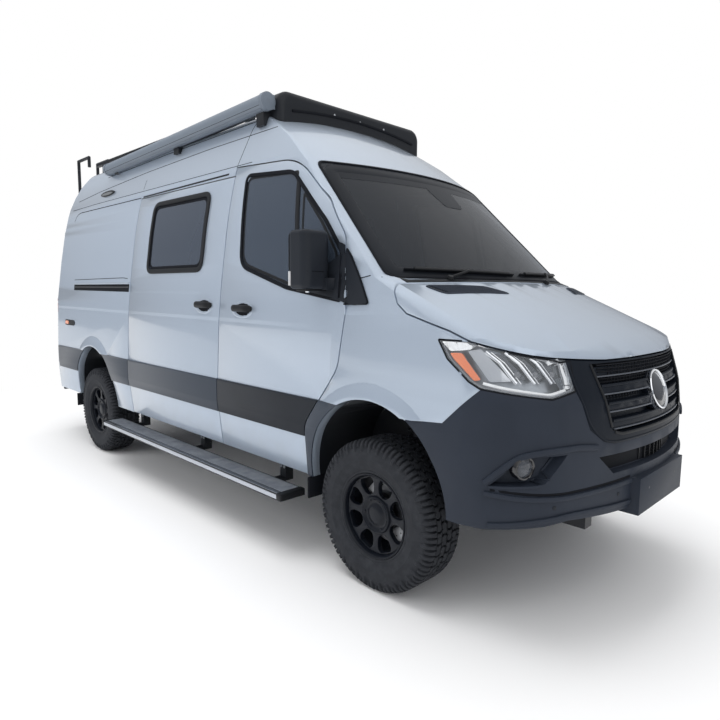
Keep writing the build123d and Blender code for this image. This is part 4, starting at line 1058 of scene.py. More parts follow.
def make_side():
    """Window seals, handles, seams, rails, lights and the fuel flap."""
    on_side = from_side(skin_of("body_shell", "front_door_right", "sliding_door"))
    on_pane = from_side(skin_of("front_glass_right", "side_windows", "front_door_right"))

    # Front door windows: seal, black borders round both panes and the divider
    seal_line = drawn(on_side, grown(FRONT_WINDOW, 0.006), 0.03, closed=True)
    pair("window_seal", ribbon(seal_line, 0.024, 0.005, closed=True), SEAL, FRONT_DOORS)
    for label, outline in (("main", grown(MAIN_PANE, -0.014)), ("quarter", QUARTER_PANE)):
        mesh = ribbon(drawn(on_pane, outline, 0.03, closed=True), 0.018, 0.0014, closed=True)
        pair(f"{label}_pane_border", mesh, BLACK_PLASTIC, FRONT_DOORS)
    divider = ribbon(line_on(on_pane, ((-0.604, 1.56), (-0.655, 1.8), (-0.716, 2.19))), 0.026, 0.005)
    pair("window_divider", divider, BLACK_PLASTIC, FRONT_DOORS)

    # Camper windows: a raised frame and its black border
    frame_line = drawn(on_side, grown(SIDE_WINDOW, 0.008), 0.07, closed=True)
    border_line = drawn(on_pane, grown(SIDE_WINDOW, -0.018), 0.06, closed=True)
    pair("camper_frame", ribbon(frame_line, 0.036, 0.007, closed=True), BLACK_PLASTIC)
    pair("camper_border", ribbon(border_line, 0.026, 0.0016, closed=True), SEAL)

    # Seams and pressed lines as dark strips; on the pressed lines the dark is painted shade
    for index, (line, width) in enumerate(SEAMS_AND_CREASE_SHADE):
        places = drawn(on_side, line, 0.08, 0.08)
        pair(f"seam_{index}", ribbon(places, width, 0.0006, 0.002), SEAL)
    # The sliding door's upper runner, with its sharp front end
    runner = line_on(on_side, ((-1.52, 2.338), (-2.83, 2.324)), 0.1)
    pair("upper_runner", ribbon(runner, 0.013, 0.002), BLACK_PLASTIC)

    # Slot of the sliding door's rail, with its rail and cover lip
    slot_line = rounded(((-2.885, 1.532), (-4.185, 1.54), (-4.185, 1.594), (-2.885, 1.596)), 0.006)
    piece_from("rail_slot", plate(slot_line, on_side, 0.0015, 0.2), SEAL)
    piece_from("rail", ribbon(line_on(on_side, ((-2.89, 1.572), (-4.16, 1.572)), 0.2), 0.012, 0.006), STEEL)
    lip_line = line_on(on_side, ((-2.885, 1.605), (-4.19, 1.603)), 0.2)
    pair("rail_lip", ribbon(lip_line, 0.014, 0.008), PAINT)
    over_line = drawn(on_side, ((-2.93, 1.645), (-3.02, 1.652), (-4.19, 1.642)), 0.04, 0.2)
    pair("rail_seam", ribbon(over_line, 0.006, 0.0006, 0.002), SEAL)

    # Handles: a pressed cup, a dark oval in it as painted shade behind the grip, the grip and its lock
    cup = plate(oval((0, 0), CUP_HALF), flat_sheet, 0.0, 0.012, 0.004)
    for vertex in cup.vertices:
        away = ((vertex.co.x / CUP_HALF[0]) ** 2 + (vertex.co.y / CUP_HALF[1]) ** 2) ** 0.5
        vertex.co.z += 0.0045 * max(0.0, 1 - abs(away - 0.86) / 0.14) if vertex.co.z > -0.001 else 0.0
    grip_path = rounded_path(
        ((-0.086, 0.004, -0.002), (-0.074, 0.004, 0.03), (0.082, 0.004, 0.036), (0.102, 0.004, -0.002)), 0.03
    )
    grip = with_modifiers(tube(grip_path, 0.017, 20), ("SMOOTH", {"iterations": 2}))
    grip.transform(Matrix.Diagonal((1, 1.35, 0.9, 1)))
    # The dark oval in the cup is painted shade behind the grip
    well = plate(oval((0.012, 0), (0.088, 0.04)), flat_sheet, 0.0016, 0.03, 0.004)
    lock = knob(((0.0, 0.007), (0.01, 0.007), (0.012, 0.004), (0.012, -0.003)))
    lock.transform(Matrix.Translation((-0.103, 0.002, 0)))
    parts = (("cup", cup, PAINT), ("well", well, SEAL), ("grip", grip, BLACK_PLASTIC), ("lock", lock, CHROME))
    for label, ahead, height, bodies in (("sliding", -1.64, 1.446, ()), ("front", -1.16, 1.434, FRONT_DOORS)):
        at = facing(*on_side(ahead, height))
        for part, mesh, finish in parts:
            if bodies:
                pair(f"{label}_{part}", moved(mesh, at), finish, bodies)
            else:
                piece_from(f"{label}_{part}", moved(mesh, at), finish)

    # Side marker, step lamp under the awning and the fuel flap
    marker = rounded(((-4.4, 1.185), (-4.16, 1.185), (-4.13, 1.212), (-4.16, 1.24), (-4.4, 1.24)), 0.02)
    pair("side_marker", plate(marker, on_side, 0.006), BLACK_PLASTIC)
    glow = rounded(((-4.385, 1.196), (-4.3, 1.196), (-4.3, 1.229), (-4.385, 1.229)), 0.01)
    pair("side_marker_lens", plate(glow, on_side, 0.009), AMBER)
    piece_from("step_lamp", plate(oval((-3.67, 2.447), (0.155, 0.026)), on_side, 0.008), BLACK_PLASTIC)
    piece_from("step_lamp_lens", plate(oval((-3.67, 2.443), (0.125, 0.014)), on_side, 0.0105), SMOKE)
    flap_line = rounded(((-1.62, 1.1), (-1.47, 1.1), (-1.47, 1.27), (-1.62, 1.27)), 0.03)
    flap = ribbon(line_on(on_side, flap_line, closed=True), 0.004, 0.0006, 0.002, closed=True)
    piece_from("fuel_flap", moved(flap, MIRROR), SEAL)


def make_mirrors():
    """What the mirrors' housings carry: seam, indicator, foot, lamp, collar and panes."""
    low, high = spot(-0.48, -1.15, 1.565), spot(-0.325, -0.965, 1.872)
    on_shell = from_front(skin_of("front_trim_right"), 0.2)
    seam_line = [on_shell(y, low.z + 0.092) for y in (-1.128, -1.1, -1.06, -1.02, -0.985)]
    pair("mirror_seam", ribbon(seam_line, 0.005, 0.0008), SEAL, FRONT_DOORS)
    strip = [Vector((low.x + 0.03, low.y + 0.002, low.z + height)) for height in (0.018, 0.05, 0.092)]
    pair("mirror_indicator", tube(strip, 0.009), INDICATOR, FRONT_DOORS)
    foot = soft_box(
        (high.x - 0.11, low.y + 0.03, low.z - 0.012), (high.x - 0.02, high.y - 0.02, low.z + 0.004), 0.005
    )
    pair("mirror_foot", foot, BLACK_PLASTIC, FRONT_DOORS)
    lamp = knob(((0, 0.006), (0.01, 0.005), (0.012, 0.0), (0.012, -0.004)))
    lamp.transform(
        Matrix.Translation((high.x - 0.05, low.y + 0.06, low.z - 0.012)) @ Matrix.Rotation(pi, 4, "X")
    )
    pair("mirror_lamp", lamp, CHROME, FRONT_DOORS)
    collar = soft_box(
        (high.x - 0.052, high.y - 0.05, low.z - 0.002), (high.x + 0.021, high.y - 0.03, low.z + 0.056), 0.006
    )
    pair("mirror_collar", collar, BLACK_PLASTIC, FRONT_DOORS)
    for label, base, top in (("upper", 0.1, 0.285), ("lower", 0.026, 0.088)):
        pane = soft_box(
            (low.x - 0.003, low.y + 0.026, low.z + base), (low.x + 0.004, high.y - 0.026, low.z + top), 0.002
        )
        pair(f"mirror_pane_{label}", pane, REFLECTOR, FRONT_DOORS)
        near, far, foot, head = low.y + 0.023, high.y - 0.023, base - 0.003, top + 0.003
        corners = ((near, foot), (far, foot), (far, head), (near, head))
        edge = [(low.x - 0.001, y, low.z + z) for y, z in rounded(corners, 0.012)]
        pair(f"mirror_edge_{label}", tube(edge, 0.004, closed=True), BLACK_PLASTIC, FRONT_DOORS)


# The headlamp's outline over the right front corner
LAMP = (
    (-0.402, 1.344), (-0.281, 1.345), (0.15, 1.3), (0.172, 1.138), (0.059, 1.112), (-0.148, 1.137),
    (-0.242, 1.15), (-0.286, 1.177), (-0.368, 1.266),
)
# What shows in it: plates with their depth, then bands with width and depth
LAMP_PLATES = (
    ("lamp_corner", ((-0.392, 1.34), (-0.24, 1.342), (-0.284, 1.312), (-0.358, 1.3)), 0.003, LAMP_WHITE),
    (
        "lamp_amber", ((-0.362, 1.292), (-0.318, 1.296), (-0.24, 1.186), (-0.266, 1.18), (-0.345, 1.265)),
        0.006, AMBER,
    ),
    ("lamp_side_reflector", ((-0.296, 1.306), (-0.24, 1.318), (-0.112, 1.186), (-0.206, 1.18)), 0.02, CHROME),
    ("lamp_inner_end", ((0.112, 1.285), (0.146, 1.276), (0.164, 1.148), (0.14, 1.142)), 0.016, CHROME_DARK),
)
LAMP_BANDS = (
    (
        "lamp_lower_band", ((-0.232, 1.172), (-0.14, 1.154), (0.05, 1.128), (0.128, 1.146)), 0.013, 0.01,
        LAMP_WHITE,
    ),
    ("lamp_end_band", ((0.07, 1.3), (0.104, 1.255), (0.13, 1.19), (0.134, 1.15)), 0.018, 0.008, LAMP_WHITE),
    ("lamp_upper_band", ((-0.225, 1.33), (-0.04, 1.313), (0.1, 1.293)), 0.007, 0.01, CHROME),
)


def make_headlamps():
    """Clear front faces over a dark bowl, the daylight band, projectors, fins and the amber corner."""
    mesh = bevelled(tidied(NODES["headlamps"].data.copy(), outwards=False), 0.002)
    lens = piece_from("headlamps_lens", mesh, CLEAR)
    mesh.materials.append(LAMP_BOWL.material)
    for face in mesh.polygons:
        side = 1 if face.center.y > 0 else -1
        face.material_index = 0 if face.normal.dot(Vector((cos(pi / 4), side * sin(pi / 4), 0))) > 0.4 else 1
    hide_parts("headlamps")
    on_lamp = from_corner(skin_of("headlamps"))

    on_corner = from_corner(skin_of("body_shell", "headlamps", "front_bumper", "grille"))
    gap_line = drawn(on_corner, grown(LAMP, 0.003), 0.006, 0.03, True)
    pair("lamp_gap", ribbon(gap_line, 0.008, 0.0008, closed=True), SEAL)
    rim_line = drawn(deep(on_lamp, 0.005), grown(LAMP, -0.008), 0.02, 0.03, True)
    pair("lamp_rim", ribbon(rim_line, 0.01, 0.002, closed=True), CHROME_DARK)
    for name, outline, depth, finish in LAMP_PLATES:
        mesh = plate(rounded(outline, 0.008), deep(on_lamp, depth), 0.003, 0.03, 0.008)
        pair(name, mesh, finish)
    for name, line, width, depth, finish in LAMP_BANDS:
        places = drawn(deep(on_lamp, depth), line, 0.02, 0.02)
        pair(name, ribbon(places, width, 0.005), finish)

    # Three cells of a dark pane, a projector low in it and a bright slanting fin on each side
    panes, fins, frames = [], [], []
    for start in (-0.215, -0.135, -0.055):
        slope = ((start + 0.01, 1.302), (start + 0.064, 1.298), (start + 0.166, 1.2), (start + 0.122, 1.184))
        panes.append(plate(rounded(slope, 0.012), deep(on_lamp, 0.022), 0.002, 0.03, 0.008))
        for near, width, depth in ((-0.006, 0.014, 0.012), (0.016, 0.005, 0.017)):
            edge = ((start + near, 1.306), (start + near + 0.058, 1.262), (start + near + 0.126, 1.176))
            fins.append(ribbon(line_on(deep(on_lamp, depth), edge, 0.02), width, 0.004))
        frames.append(facing(*deep(on_lamp, 0.02)(start + 0.126, 1.215)))
    eye = knob(((0, 0.012), (0.01, 0.01), (0.017, 0.003), (0.02, -0.01)))
    pair("lamp_panes", joined(*panes), LAMP_DARK)
    pair("lamp_fins", joined(*fins), CHROME)
    studs("lamp_eyes", eye, EYE, frames, pair)
    ribs = []
    for step in range(5):
        line = (
            (0.118 + 0.007 * step, 1.276 - 0.006 * step), (0.14 + 0.005 * step, 1.215),
            (0.145 + 0.004 * step, 1.152),
        )
        ribs.append(ribbon(drawn(deep(on_lamp, 0.012), line, 0.03, 0.02), 0.003, 0.003))
    pair("lamp_ribs", joined(*ribs), CHROME)


GRILLE_LOW, GRILLE_HIGH, SLATS, WIRES = 0.93, 1.246, 4, 20


# Lines round the grille, drawn from its side to its middle, with their width and how proud they stand
GRILLE_LINES = (
    ("grille_rim", ((-0.536, 1.244), (-0.455, 0.944), (-0.395, 0.926)), 0.014, 0.004, BLACK_PLASTIC),
    (
        "grille_edge", ((-0.664, 1.236), (-0.652, 1.15), (-0.594, 0.975), (-0.514, 0.91), (-0.44, 0.895)),
        0.01, 0.003, SURROUND,
    ),
)
# Edges of a slat: height from its middle, width and how proud they stand
SLAT_EDGES = (("top", 0.017, 0.012, 0.005, SURROUND), ("foot", -0.02, 0.007, 0.007, GRILLE_GREY))


def make_grille():
    """Rims, slat edges, the mesh behind and the bare round badge place."""
    on_face = from_front(skin_of("grille", "front_bumper"))
    for name, half_line, width, proud, finish in GRILLE_LINES:
        line = [*half_line, *((-across, height) for across, height in reversed(half_line))]
        piece_from(name, ribbon(drawn(on_face, line, 0.05, 0.04), width, proud), finish)
    pitch = (GRILLE_HIGH - GRILLE_LOW) / SLATS
    for slat in range(SLATS):
        middle = GRILLE_LOW + pitch * (slat + 0.5)
        half = 0.418 + (middle - GRILLE_LOW) / (GRILLE_HIGH - GRILLE_LOW) * 0.1
        for label, rise, width, proud, finish in SLAT_EDGES:
            places = [on_face(half * step / 12, middle + rise) for step in range(-12, 13)]
            piece_from(f"slat_{slat}_{label}", ribbon(places, width, proud), finish)

    def behind(across, height):
        return spot(0.985 - 0.3 * abs(across) ** 2.2, across, height)

    across = [step / 20 for step in range(-10, 11)]
    wires = []
    for row in range(WIRES):
        height = GRILLE_LOW + 0.01 + row * (GRILLE_HIGH - GRILLE_LOW - 0.018) / (WIRES - 1)
        half = 0.81 + (height - GRILLE_LOW) * 0.6
        wires.append(tube([behind(share * half, height) for share in across], 0.0026, 6))
    piece_from("grille_mesh", joined(*wires), SEAL)
    upright = tube([(0, 0, GRILLE_LOW + 0.012), (0, 0, GRILLE_HIGH - 0.01)], 0.0024, 6)
    frames = [Matrix.Translation(behind(step * 0.0245, 0)) for step in range(-17, 18)]
    studs("grille_uprights", upright, SEAL, frames)

    at = facing(*on_face(0.0, 1.088))
    disc = knob(((0, 0.016), (0.06, 0.015), (0.084, 0.012), (0.092, 0.006), (0.092, -0.012)), 64)
    piece_from("badge_place", moved(disc, at), BLACK_GLOSS)
    ring = knob(((0.089, 0.011), (0.091, 0.018), (0.096, 0.02), (0.1, 0.016), (0.101, -0.012)), 64)
    piece_from("badge_ring", moved(ring, at), CHROME)


# Lines of the bumper, drawn from its side to its middle, with their width and how proud they stand
BUMPER_LINES = (
    (
        "fog_brow",
        ((-0.975, 0.745), (-0.952, 0.8), (-0.905, 0.872), (-0.82, 0.893), (-0.68, 0.9), (-0.56, 0.886)),
        0.026, 0.012, PLASTIC,
    ),
    ("fog_foot", ((-0.968, 0.73), (-0.9, 0.738), (-0.825, 0.744), (-0.735, 0.868)), 0.012, 0.006, PLASTIC),
    (
        "lip_ridge", ((-0.975, 0.7), (-0.9, 0.688), (-0.75, 0.684), (-0.5, 0.69), (-0.31, 0.696)),
        0.022, 0.013, PLASTIC,
    ),
    # A dark strip over the lip ridge: painted shade in the trough
    (
        "lip_trough", ((-0.965, 0.718), (-0.86, 0.706), (-0.75, 0.703), (-0.5, 0.709), (-0.31, 0.715)),
        0.012, 0.001, SEAL,
    ),
    (
        "lip_foot", ((-0.965, 0.56), (-0.86, 0.588), (-0.72, 0.606), (-0.5, 0.6), (-0.31, 0.594)),
        0.022, 0.01, PLASTIC,
    ),
)
INTAKE_HALF = 0.49


def make_bumper():
    """The brow over the fog lamps, lip, sensors, fog lamps, intake and the bare plate place."""
    on_bumper = from_front(skin_of("front_bumper"))
    for name, line, width, proud, finish in BUMPER_LINES:
        places = drawn(on_bumper, line, 0.05, 0.03)
        pair(name, ribbon(places, width, proud), finish)
    sensor = knob(((0, 0.002), (0.008, 0.002), (0.0095, 0.001), (0.0105, -0.002)))
    frames = [facing(*on_bumper(across, height)) for across, height in ((-0.4, 0.645), (-0.78, 0.645))]
    studs("sensors", sensor, TRIM_PLASTIC, frames, pair)

    at = facing(spot(0.8, -0.88, 0.82), Vector((0.94, -0.34, 0)).normalized())
    bowl = knob(
        ((0, -0.024), (0.022, -0.017), (0.036, -0.002), (0.04, 0.004), (0.046, 0.002), (0.048, -0.03)), 40
    )
    pair("fog_bowl", moved(bowl, at), CHROME_DARK)
    ring = knob(((0.039, 0.003), (0.043, 0.01), (0.05, 0.009), (0.054, 0.0), (0.054, -0.03)), 40)
    pair("fog_ring", moved(ring, at), BLACK_GLOSS)
    lens = knob(((0, 0.012), (0.014, 0.0115), (0.028, 0.009), (0.041, 0.003)), 40)
    pair("fog_lens", moved(lens, at), FOG_GLASS)

    back = ((-0.528, 0.831), (0.528, 0.831), (0.438, 0.757), (-0.438, 0.757))
    piece_from("intake_back", plate(back, on_bumper, 0.002, 0.04, 0.003), SEAL)
    places = [step / 10 * INTAKE_HALF for step in range(-10, 11)]
    wires = []
    for row in range(6):
        height = 0.757 + 0.0145 * row
        wires.append(tube([spot(1.016 - 0.6 * y**2, y, height) for y in places], 0.0026, 6))
    piece_from("intake_mesh", joined(*wires), SEAL)
    fin = soft_box((-0.03, -0.003, -0.04), (0.006, 0.003, 0.04), 0.001, 1)
    frames = [
        Matrix.Translation(spot(1.02 - 0.62 * (step * 0.052) ** 2, step * 0.052, 0.797))
        for step in range(-9, 10)
    ]
    studs("intake_fins", fin, BLACK_PLASTIC, frames)

    face_x = AXLE_F + 1.073
    frame_path = [
        (face_x, y, z)
        for y, z in rounded(((-0.27, 0.555), (0.27, 0.555), (0.27, 0.68), (-0.27, 0.68)), 0.015)
    ]
    piece_from("plate_frame", tube(frame_path, 0.0019, closed=True), PLASTIC)
    bolt = knob(((0, 0.0014), (0.005, 0.0014), (0.007, 0.0), (0.007, -0.002)), 12)
    frames = [facing(Vector((face_x + 0.0015, side * 0.18, 0.64)), Vector((1, 0, 0))) for side in (-1, 1)]
    studs("plate_bolts", bolt, STEEL, frames)


# Arcs seen from above: distance ahead of the front axle at the middle line, and radius
SCREEN_FOOT, BONNET_REAR = (0.255, 1.95), (0.3, 2.289)
DASH_TOP, DASH_FRONT = 1.472, -0.03
BONNET_PAIR = ("bonnet", "bonnet")
VENT = ((0.176, -0.815), (0.3, -0.455), (0.405, -0.365), (0.285, -0.775))


def on_arc(arc, across):
    """How far ahead of the front axle an arc lies."""
    middle, radius = arc
    return middle - (radius - (radius**2 - across**2) ** 0.5)


def make_screen():
    """Screen border and seal, cowl, wipers, bonnet vents and the sensor box."""
    on_glass = from_front(skin_of("windscreen"), 1.0)
    on_skin = from_front(skin_of("windscreen", "body_shell"), 1.0)
    border_line = ((-0.755, 2.266), (0.755, 2.266), (0.868, 1.655), (-0.868, 1.655))
    border = drawn(on_glass, border_line, 0.06, 0.04, True)
    piece_from("screen_border", ribbon(border, 0.075, 0.0012, closed=True), SCREEN_BLACK)
    top_band = rounded(((-0.76, 2.285), (0.76, 2.285), (0.775, 2.2), (-0.775, 2.2)), 0.02)
    piece_from("screen_top_band", plate(top_band, on_glass, 0.0009, 0.06), SCREEN_BLACK)
    seal_line = ((-0.795, 2.305), (0.795, 2.305), (0.905, 1.63), (-0.905, 1.63))
    seal = drawn(on_skin, seal_line, 0.045, 0.04, True)
    piece_from("screen_seal", ribbon(seal, 0.018, 0.004, closed=True), SEAL)
    box = rounded(((-0.09, 2.08), (0.09, 2.08), (0.13, 2.22), (-0.13, 2.22)), 0.03)
    piece_from("sensor_box", plate(box, on_glass, 0.0016), SCREEN_BLACK)

    on_top = from_top(skin_of("body_shell", "bonnet"))
    rear = [(on_arc(SCREEN_FOOT, y) + 0.01, y) for y in (-0.868 + 0.07233 * step for step in range(25))]
    front = [(on_arc(BONNET_REAR, y) - 0.01, y) for _, y in rear]
    piece_from("cowl", plate(rear + front[::-1], on_top, 0.003, 0.06), BLACK_PLASTIC)

    def under_cowl(ahead, across):
        """From under the bonnet's rear edge down to the dash."""
        edge = on_arc(BONNET_REAR, across) - 0.012
        rise = on_top(edge, across)[0].z - 0.03 - DASH_TOP
        height = DASH_TOP + rise * (ahead - DASH_FRONT) / (edge - DASH_FRONT)
        return spot(ahead, across, height), Vector((0, 0, 1))

    lip = [(on_arc(BONNET_REAR, across) - 0.012, across) for _, across in rear]
    floor = [(DASH_FRONT, across) for _, across in lip] + lip[::-1]
    piece_from("cowl_floor", plate(floor, under_cowl, 0.002, 0.06), BLACK_PLASTIC)

    on_bonnet = from_top(skin_of("bonnet"))
    pair("bonnet_vent", plate(rounded(VENT, 0.035), on_bonnet, 0.0015), BLACK_PLASTIC, BONNET_PAIR)
    vent_edge = drawn(on_bonnet, grown(VENT, -0.004), 0.03, 0.05, True)
    pair("bonnet_vent_edge", ribbon(vent_edge, 0.01, 0.004, closed=True), PLASTIC, BONNET_PAIR)
    louvres = []
    for step in range(1, 9):
        start = Vector(VENT[0]).lerp(Vector(VENT[3]), step / 9)
        end = Vector(VENT[1]).lerp(Vector(VENT[2]), step / 9)
        louvres.append(
            ribbon([on_bonnet(*start.lerp(end, 0.07 + 0.86 * part / 6)) for part in range(7)], 0.007, 0.006)
        )
    pair("bonnet_louvres", joined(*louvres), PLASTIC, BONNET_PAIR)

    # Two wipers resting at the foot of the glass: pivot, elbow and the blade's ends
    wipers = (
        ((-0.6, 1.622), (-0.46, 1.645), (-0.8, 1.664), (-0.06, 1.652)),
        ((0.22, 1.612), (0.36, 1.64), (0.02, 1.656), (0.76, 1.668)),
    )
    for index, (pivot, elbow, start, end) in enumerate(wipers):
        blade = line_on(on_glass, (start, end))
        piece_from(f"wiper_blade_{index}", ribbon(blade, 0.009, 0.016), SEAL)
        back = [(place + normal * 0.014, normal) for place, normal in blade[1:-1]]
        piece_from(f"wiper_back_{index}", ribbon(back, 0.018, 0.009), BLACK_PLASTIC)
        base, base_way = on_skin(*pivot)
        bend, bend_way = on_glass(*elbow)
        tip, tip_way = on_glass((start[0] + end[0]) / 2, (start[1] + end[1]) / 2)
        arm = tube(
            rounded_path([base + base_way * 0.012, bend + bend_way * 0.03, tip + tip_way * 0.024], 0.05),
            0.007,
        )
        piece_from(f"wiper_arm_{index}", arm, BLACK_PLASTIC)
        cap = knob(((0, 0.022), (0.014, 0.02), (0.018, 0.01), (0.018, -0.01)))
        piece_from(f"wiper_cap_{index}", moved(cap, facing(base, base_way)), BLACK_PLASTIC)


# ---------------------------------------------------------------- rear, roof, boards, cabin and underside


def make_sails():
    """Black corner pieces at the foot of the front windows, on the door and on the wing."""
    on_side = from_side(skin_of("body_shell", "front_door_right"))
    door = (
        (-0.3, 1.815), (-0.25, 1.8), (-0.2125, 1.6), (-0.2085, 1.498), (-0.36, 1.521), (-0.36, 1.556),
        (-0.285, 1.546),
    )
    pair("door_sail", plate(door, on_side, 0.007, 0.02), TRIM_PLASTIC, FRONT_DOORS)
    wing = (
        (-0.236, 1.775), (-0.195, 1.735), (-0.12, 1.631), (-0.041, 1.497), (-0.14, 1.484), (-0.2015, 1.492),
        (-0.2065, 1.6),
    )
    pair("wing_sail", plate(rounded(wing, 0.012), on_side, 0.011, 0.015), TRIM_PLASTIC)
    edge_line = ((-0.232, 1.775), (-0.195, 1.738), (-0.12, 1.631), (-0.04, 1.494), (-0.2015, 1.49))
    edge = drawn(on_side, edge_line, 0.02, 0.03)
    gap = line_on(on_side, ((-0.2055, 1.498), (-0.2065, 1.6), (-0.232, 1.77)), 0.03)
    pair("sail_gap", ribbon(gap, 0.007, 0.005, 0.006), SEAL)
    pair("wing_sail_edge", ribbon(edge, 0.01, 0.01), SEAL)


PAD_RIBS, PAD_PITCH = 39, 0.04
# Parts of a tail lamp: lower and upper edge
TAIL_SEGMENTS = ((1.42, 1.5, RED_LENS), (1.3, 1.405, AMBER), (1.17, 1.285, SMOKE), (1.01, 1.155, RED_LENS))


def make_rear():
    """Lamps, seams, handles, hinges, the bare plate place and the bumper's fittings."""
    on_rear = from_rear(skin_of("body_shell", "rear_door_right", "rear_door_left"))
    on_lamp = from_rear(skin_of("tail_lamps"))
    on_lamp_side = from_side(skin_of("tail_lamps"))
    for index, (low, high, finish) in enumerate(TAIL_SEGMENTS):
        outline = rounded(((-0.975, low), (-0.902, low), (-0.902, high), (-0.975, high)), 0.012)
        pair(f"tail_segment_{index}", plate(outline, on_lamp, 0.003, 0.03), finish)
    lines = [line_on(on_lamp, ((-0.985, height), (-0.896, height)), 0.02) for height in (1.412, 1.292, 1.162)]
    divide = [ribbon(line, 0.006, 0.004) for line in lines]
    pair("tail_divides", joined(*divide), BLACK_PLASTIC)
    side = rounded(((-4.72, 1.05), (-4.68, 1.05), (-4.68, 1.46), (-4.72, 1.46)), 0.01)
    pair("tail_side", plate(side, on_lamp_side, 0.002, 0.05), RED_LENS)

    window = ((-0.11, 1.56), (-0.79, 1.56), (-0.69, 2.15), (-0.11, 2.15))
    seal = ribbon(drawn(on_rear, grown(window, 0.006), 0.065, closed=True), 0.026, 0.005, closed=True)
    pair("rear_window_seal", seal, SEAL, REAR_DOORS)
    # A pressed outline on the rear doors, drawn as a thin dark line: painted shade in its crease
    pressed_shade_line = ((-0.1, 0.72), (-0.8, 0.72), (-0.8, 1.44), (-0.1, 1.44))
    line = ribbon(drawn(on_rear, pressed_shade_line, 0.06, closed=True), 0.007, 0.0008, closed=True)
    pair("rear_press", line, SEAL, REAR_DOORS)
    for index, height in enumerate((0.745, 1.405)):
        hinge = soft_box((-0.02, -0.06, -0.034), (0.004, 0.044, 0.034), 0.008)
        place, _ = on_rear(-0.85, height)
        pair(f"rear_hinge_{index}", moved(hinge, Matrix.Translation(place)), PAINT, REAR_DOORS)
    grip = tube(
        rounded_path(((0.004, 0, -0.085), (-0.03, 0, -0.075), (-0.03, 0, 0.075), (0.004, 0, 0.085)), 0.03),
        0.013,
    )
    place, _ = on_rear(-0.06, 1.1)
    piece_from("rear_grip", moved(grip, Matrix.Translation(place)), BLACK_PLASTIC, "rear_door_right")
    cup = plate(oval((-0.06, 1.1), (0.045, 0.12)), on_rear, 0.002, 0.04)
    piece_from("rear_cup", cup, SEAL, "rear_door_right")
    shelf = rounded(((0.12, 1.02), (0.66, 1.02), (0.66, 1.2), (0.12, 1.2)), 0.02)
    piece_from("plate_place", plate(shelf, on_rear, 0.004), BLACK_PLASTIC, "rear_door_left")
    hood = ribbon(line_on(on_rear, ((0.14, 1.215), (0.64, 1.215))), 0.03, 0.022)
    piece_from("plate_hood", hood, BLACK_PLASTIC, "rear_door_left")
    stop = ribbon(line_on(on_rear, ((-0.16, 2.47), (0.16, 2.47))), 0.024, 0.01)
    piece_from("stop_lamp", stop, RED_LENS)

    # Rear bumper: step pad with ribs, reflectors and sensors
    on_bar = from_top(skin_of("rear_bumper"))
    pad = rounded(((-4.8, -0.8), (-4.735, -0.8), (-4.735, 0.8), (-4.8, 0.8)), 0.01)
    piece_from("step_pad", plate(pad, on_bar, 0.002, 0.1), GRIP)
    rib = soft_box((-0.03, -0.004, 0.0), (0.03, 0.004, 0.005), 0.0015, 1)
    start = spot(-4.768, -0.76, 0.6015)
    ribs = repeated(moved(rib, Matrix.Translation(start)), BLACK_PLASTIC, PAD_RIBS, step=(0, PAD_PITCH, 0))
    piece_from("pad_ribs", ribs, BLACK_PLASTIC)
    on_back = from_rear(skin_of("rear_bumper"))
    reflector = rounded(((-0.78, 0.51), (-0.66, 0.51), (-0.66, 0.55), (-0.78, 0.55)), 0.008)
    pair("bumper_reflector", plate(reflector, on_back, 0.004), RED_LENS)
    sensor = knob(((0, 0.003), (0.01, 0.003), (0.0125, -0.002)))
    frames = [facing(*on_back(across, 0.545)) for across in (-0.52, -0.2, 0.2, 0.52)]
    studs("rear_sensors", sensor, BLACK_GLOSS, frames)


# Roof: where the rack's bars and the roof unit's ends lie, and the middle line of the awning's round case
RACK_BARS = (-4.2, -3.0, -1.6)
UNIT_REAR, UNIT_FRONT, UNIT_HALF = -4.06, -3.2, 0.33
AWNING_REAR, AWNING_FRONT = spot(-3.735, -0.757, 2.68), spot(-1.165, -0.757, 2.758)


# Lines along the awning's case: angle up round it in degrees, width and how proud they stand
AWNING_LINES = (
    ("lead", -64, 0.02, 0.005, CASE_CAP),
    ("seam", -30, 0.003, 0.0004, SEAL),
    ("crease", 62, 0.003, 0.0004, CASE_CAP),
)


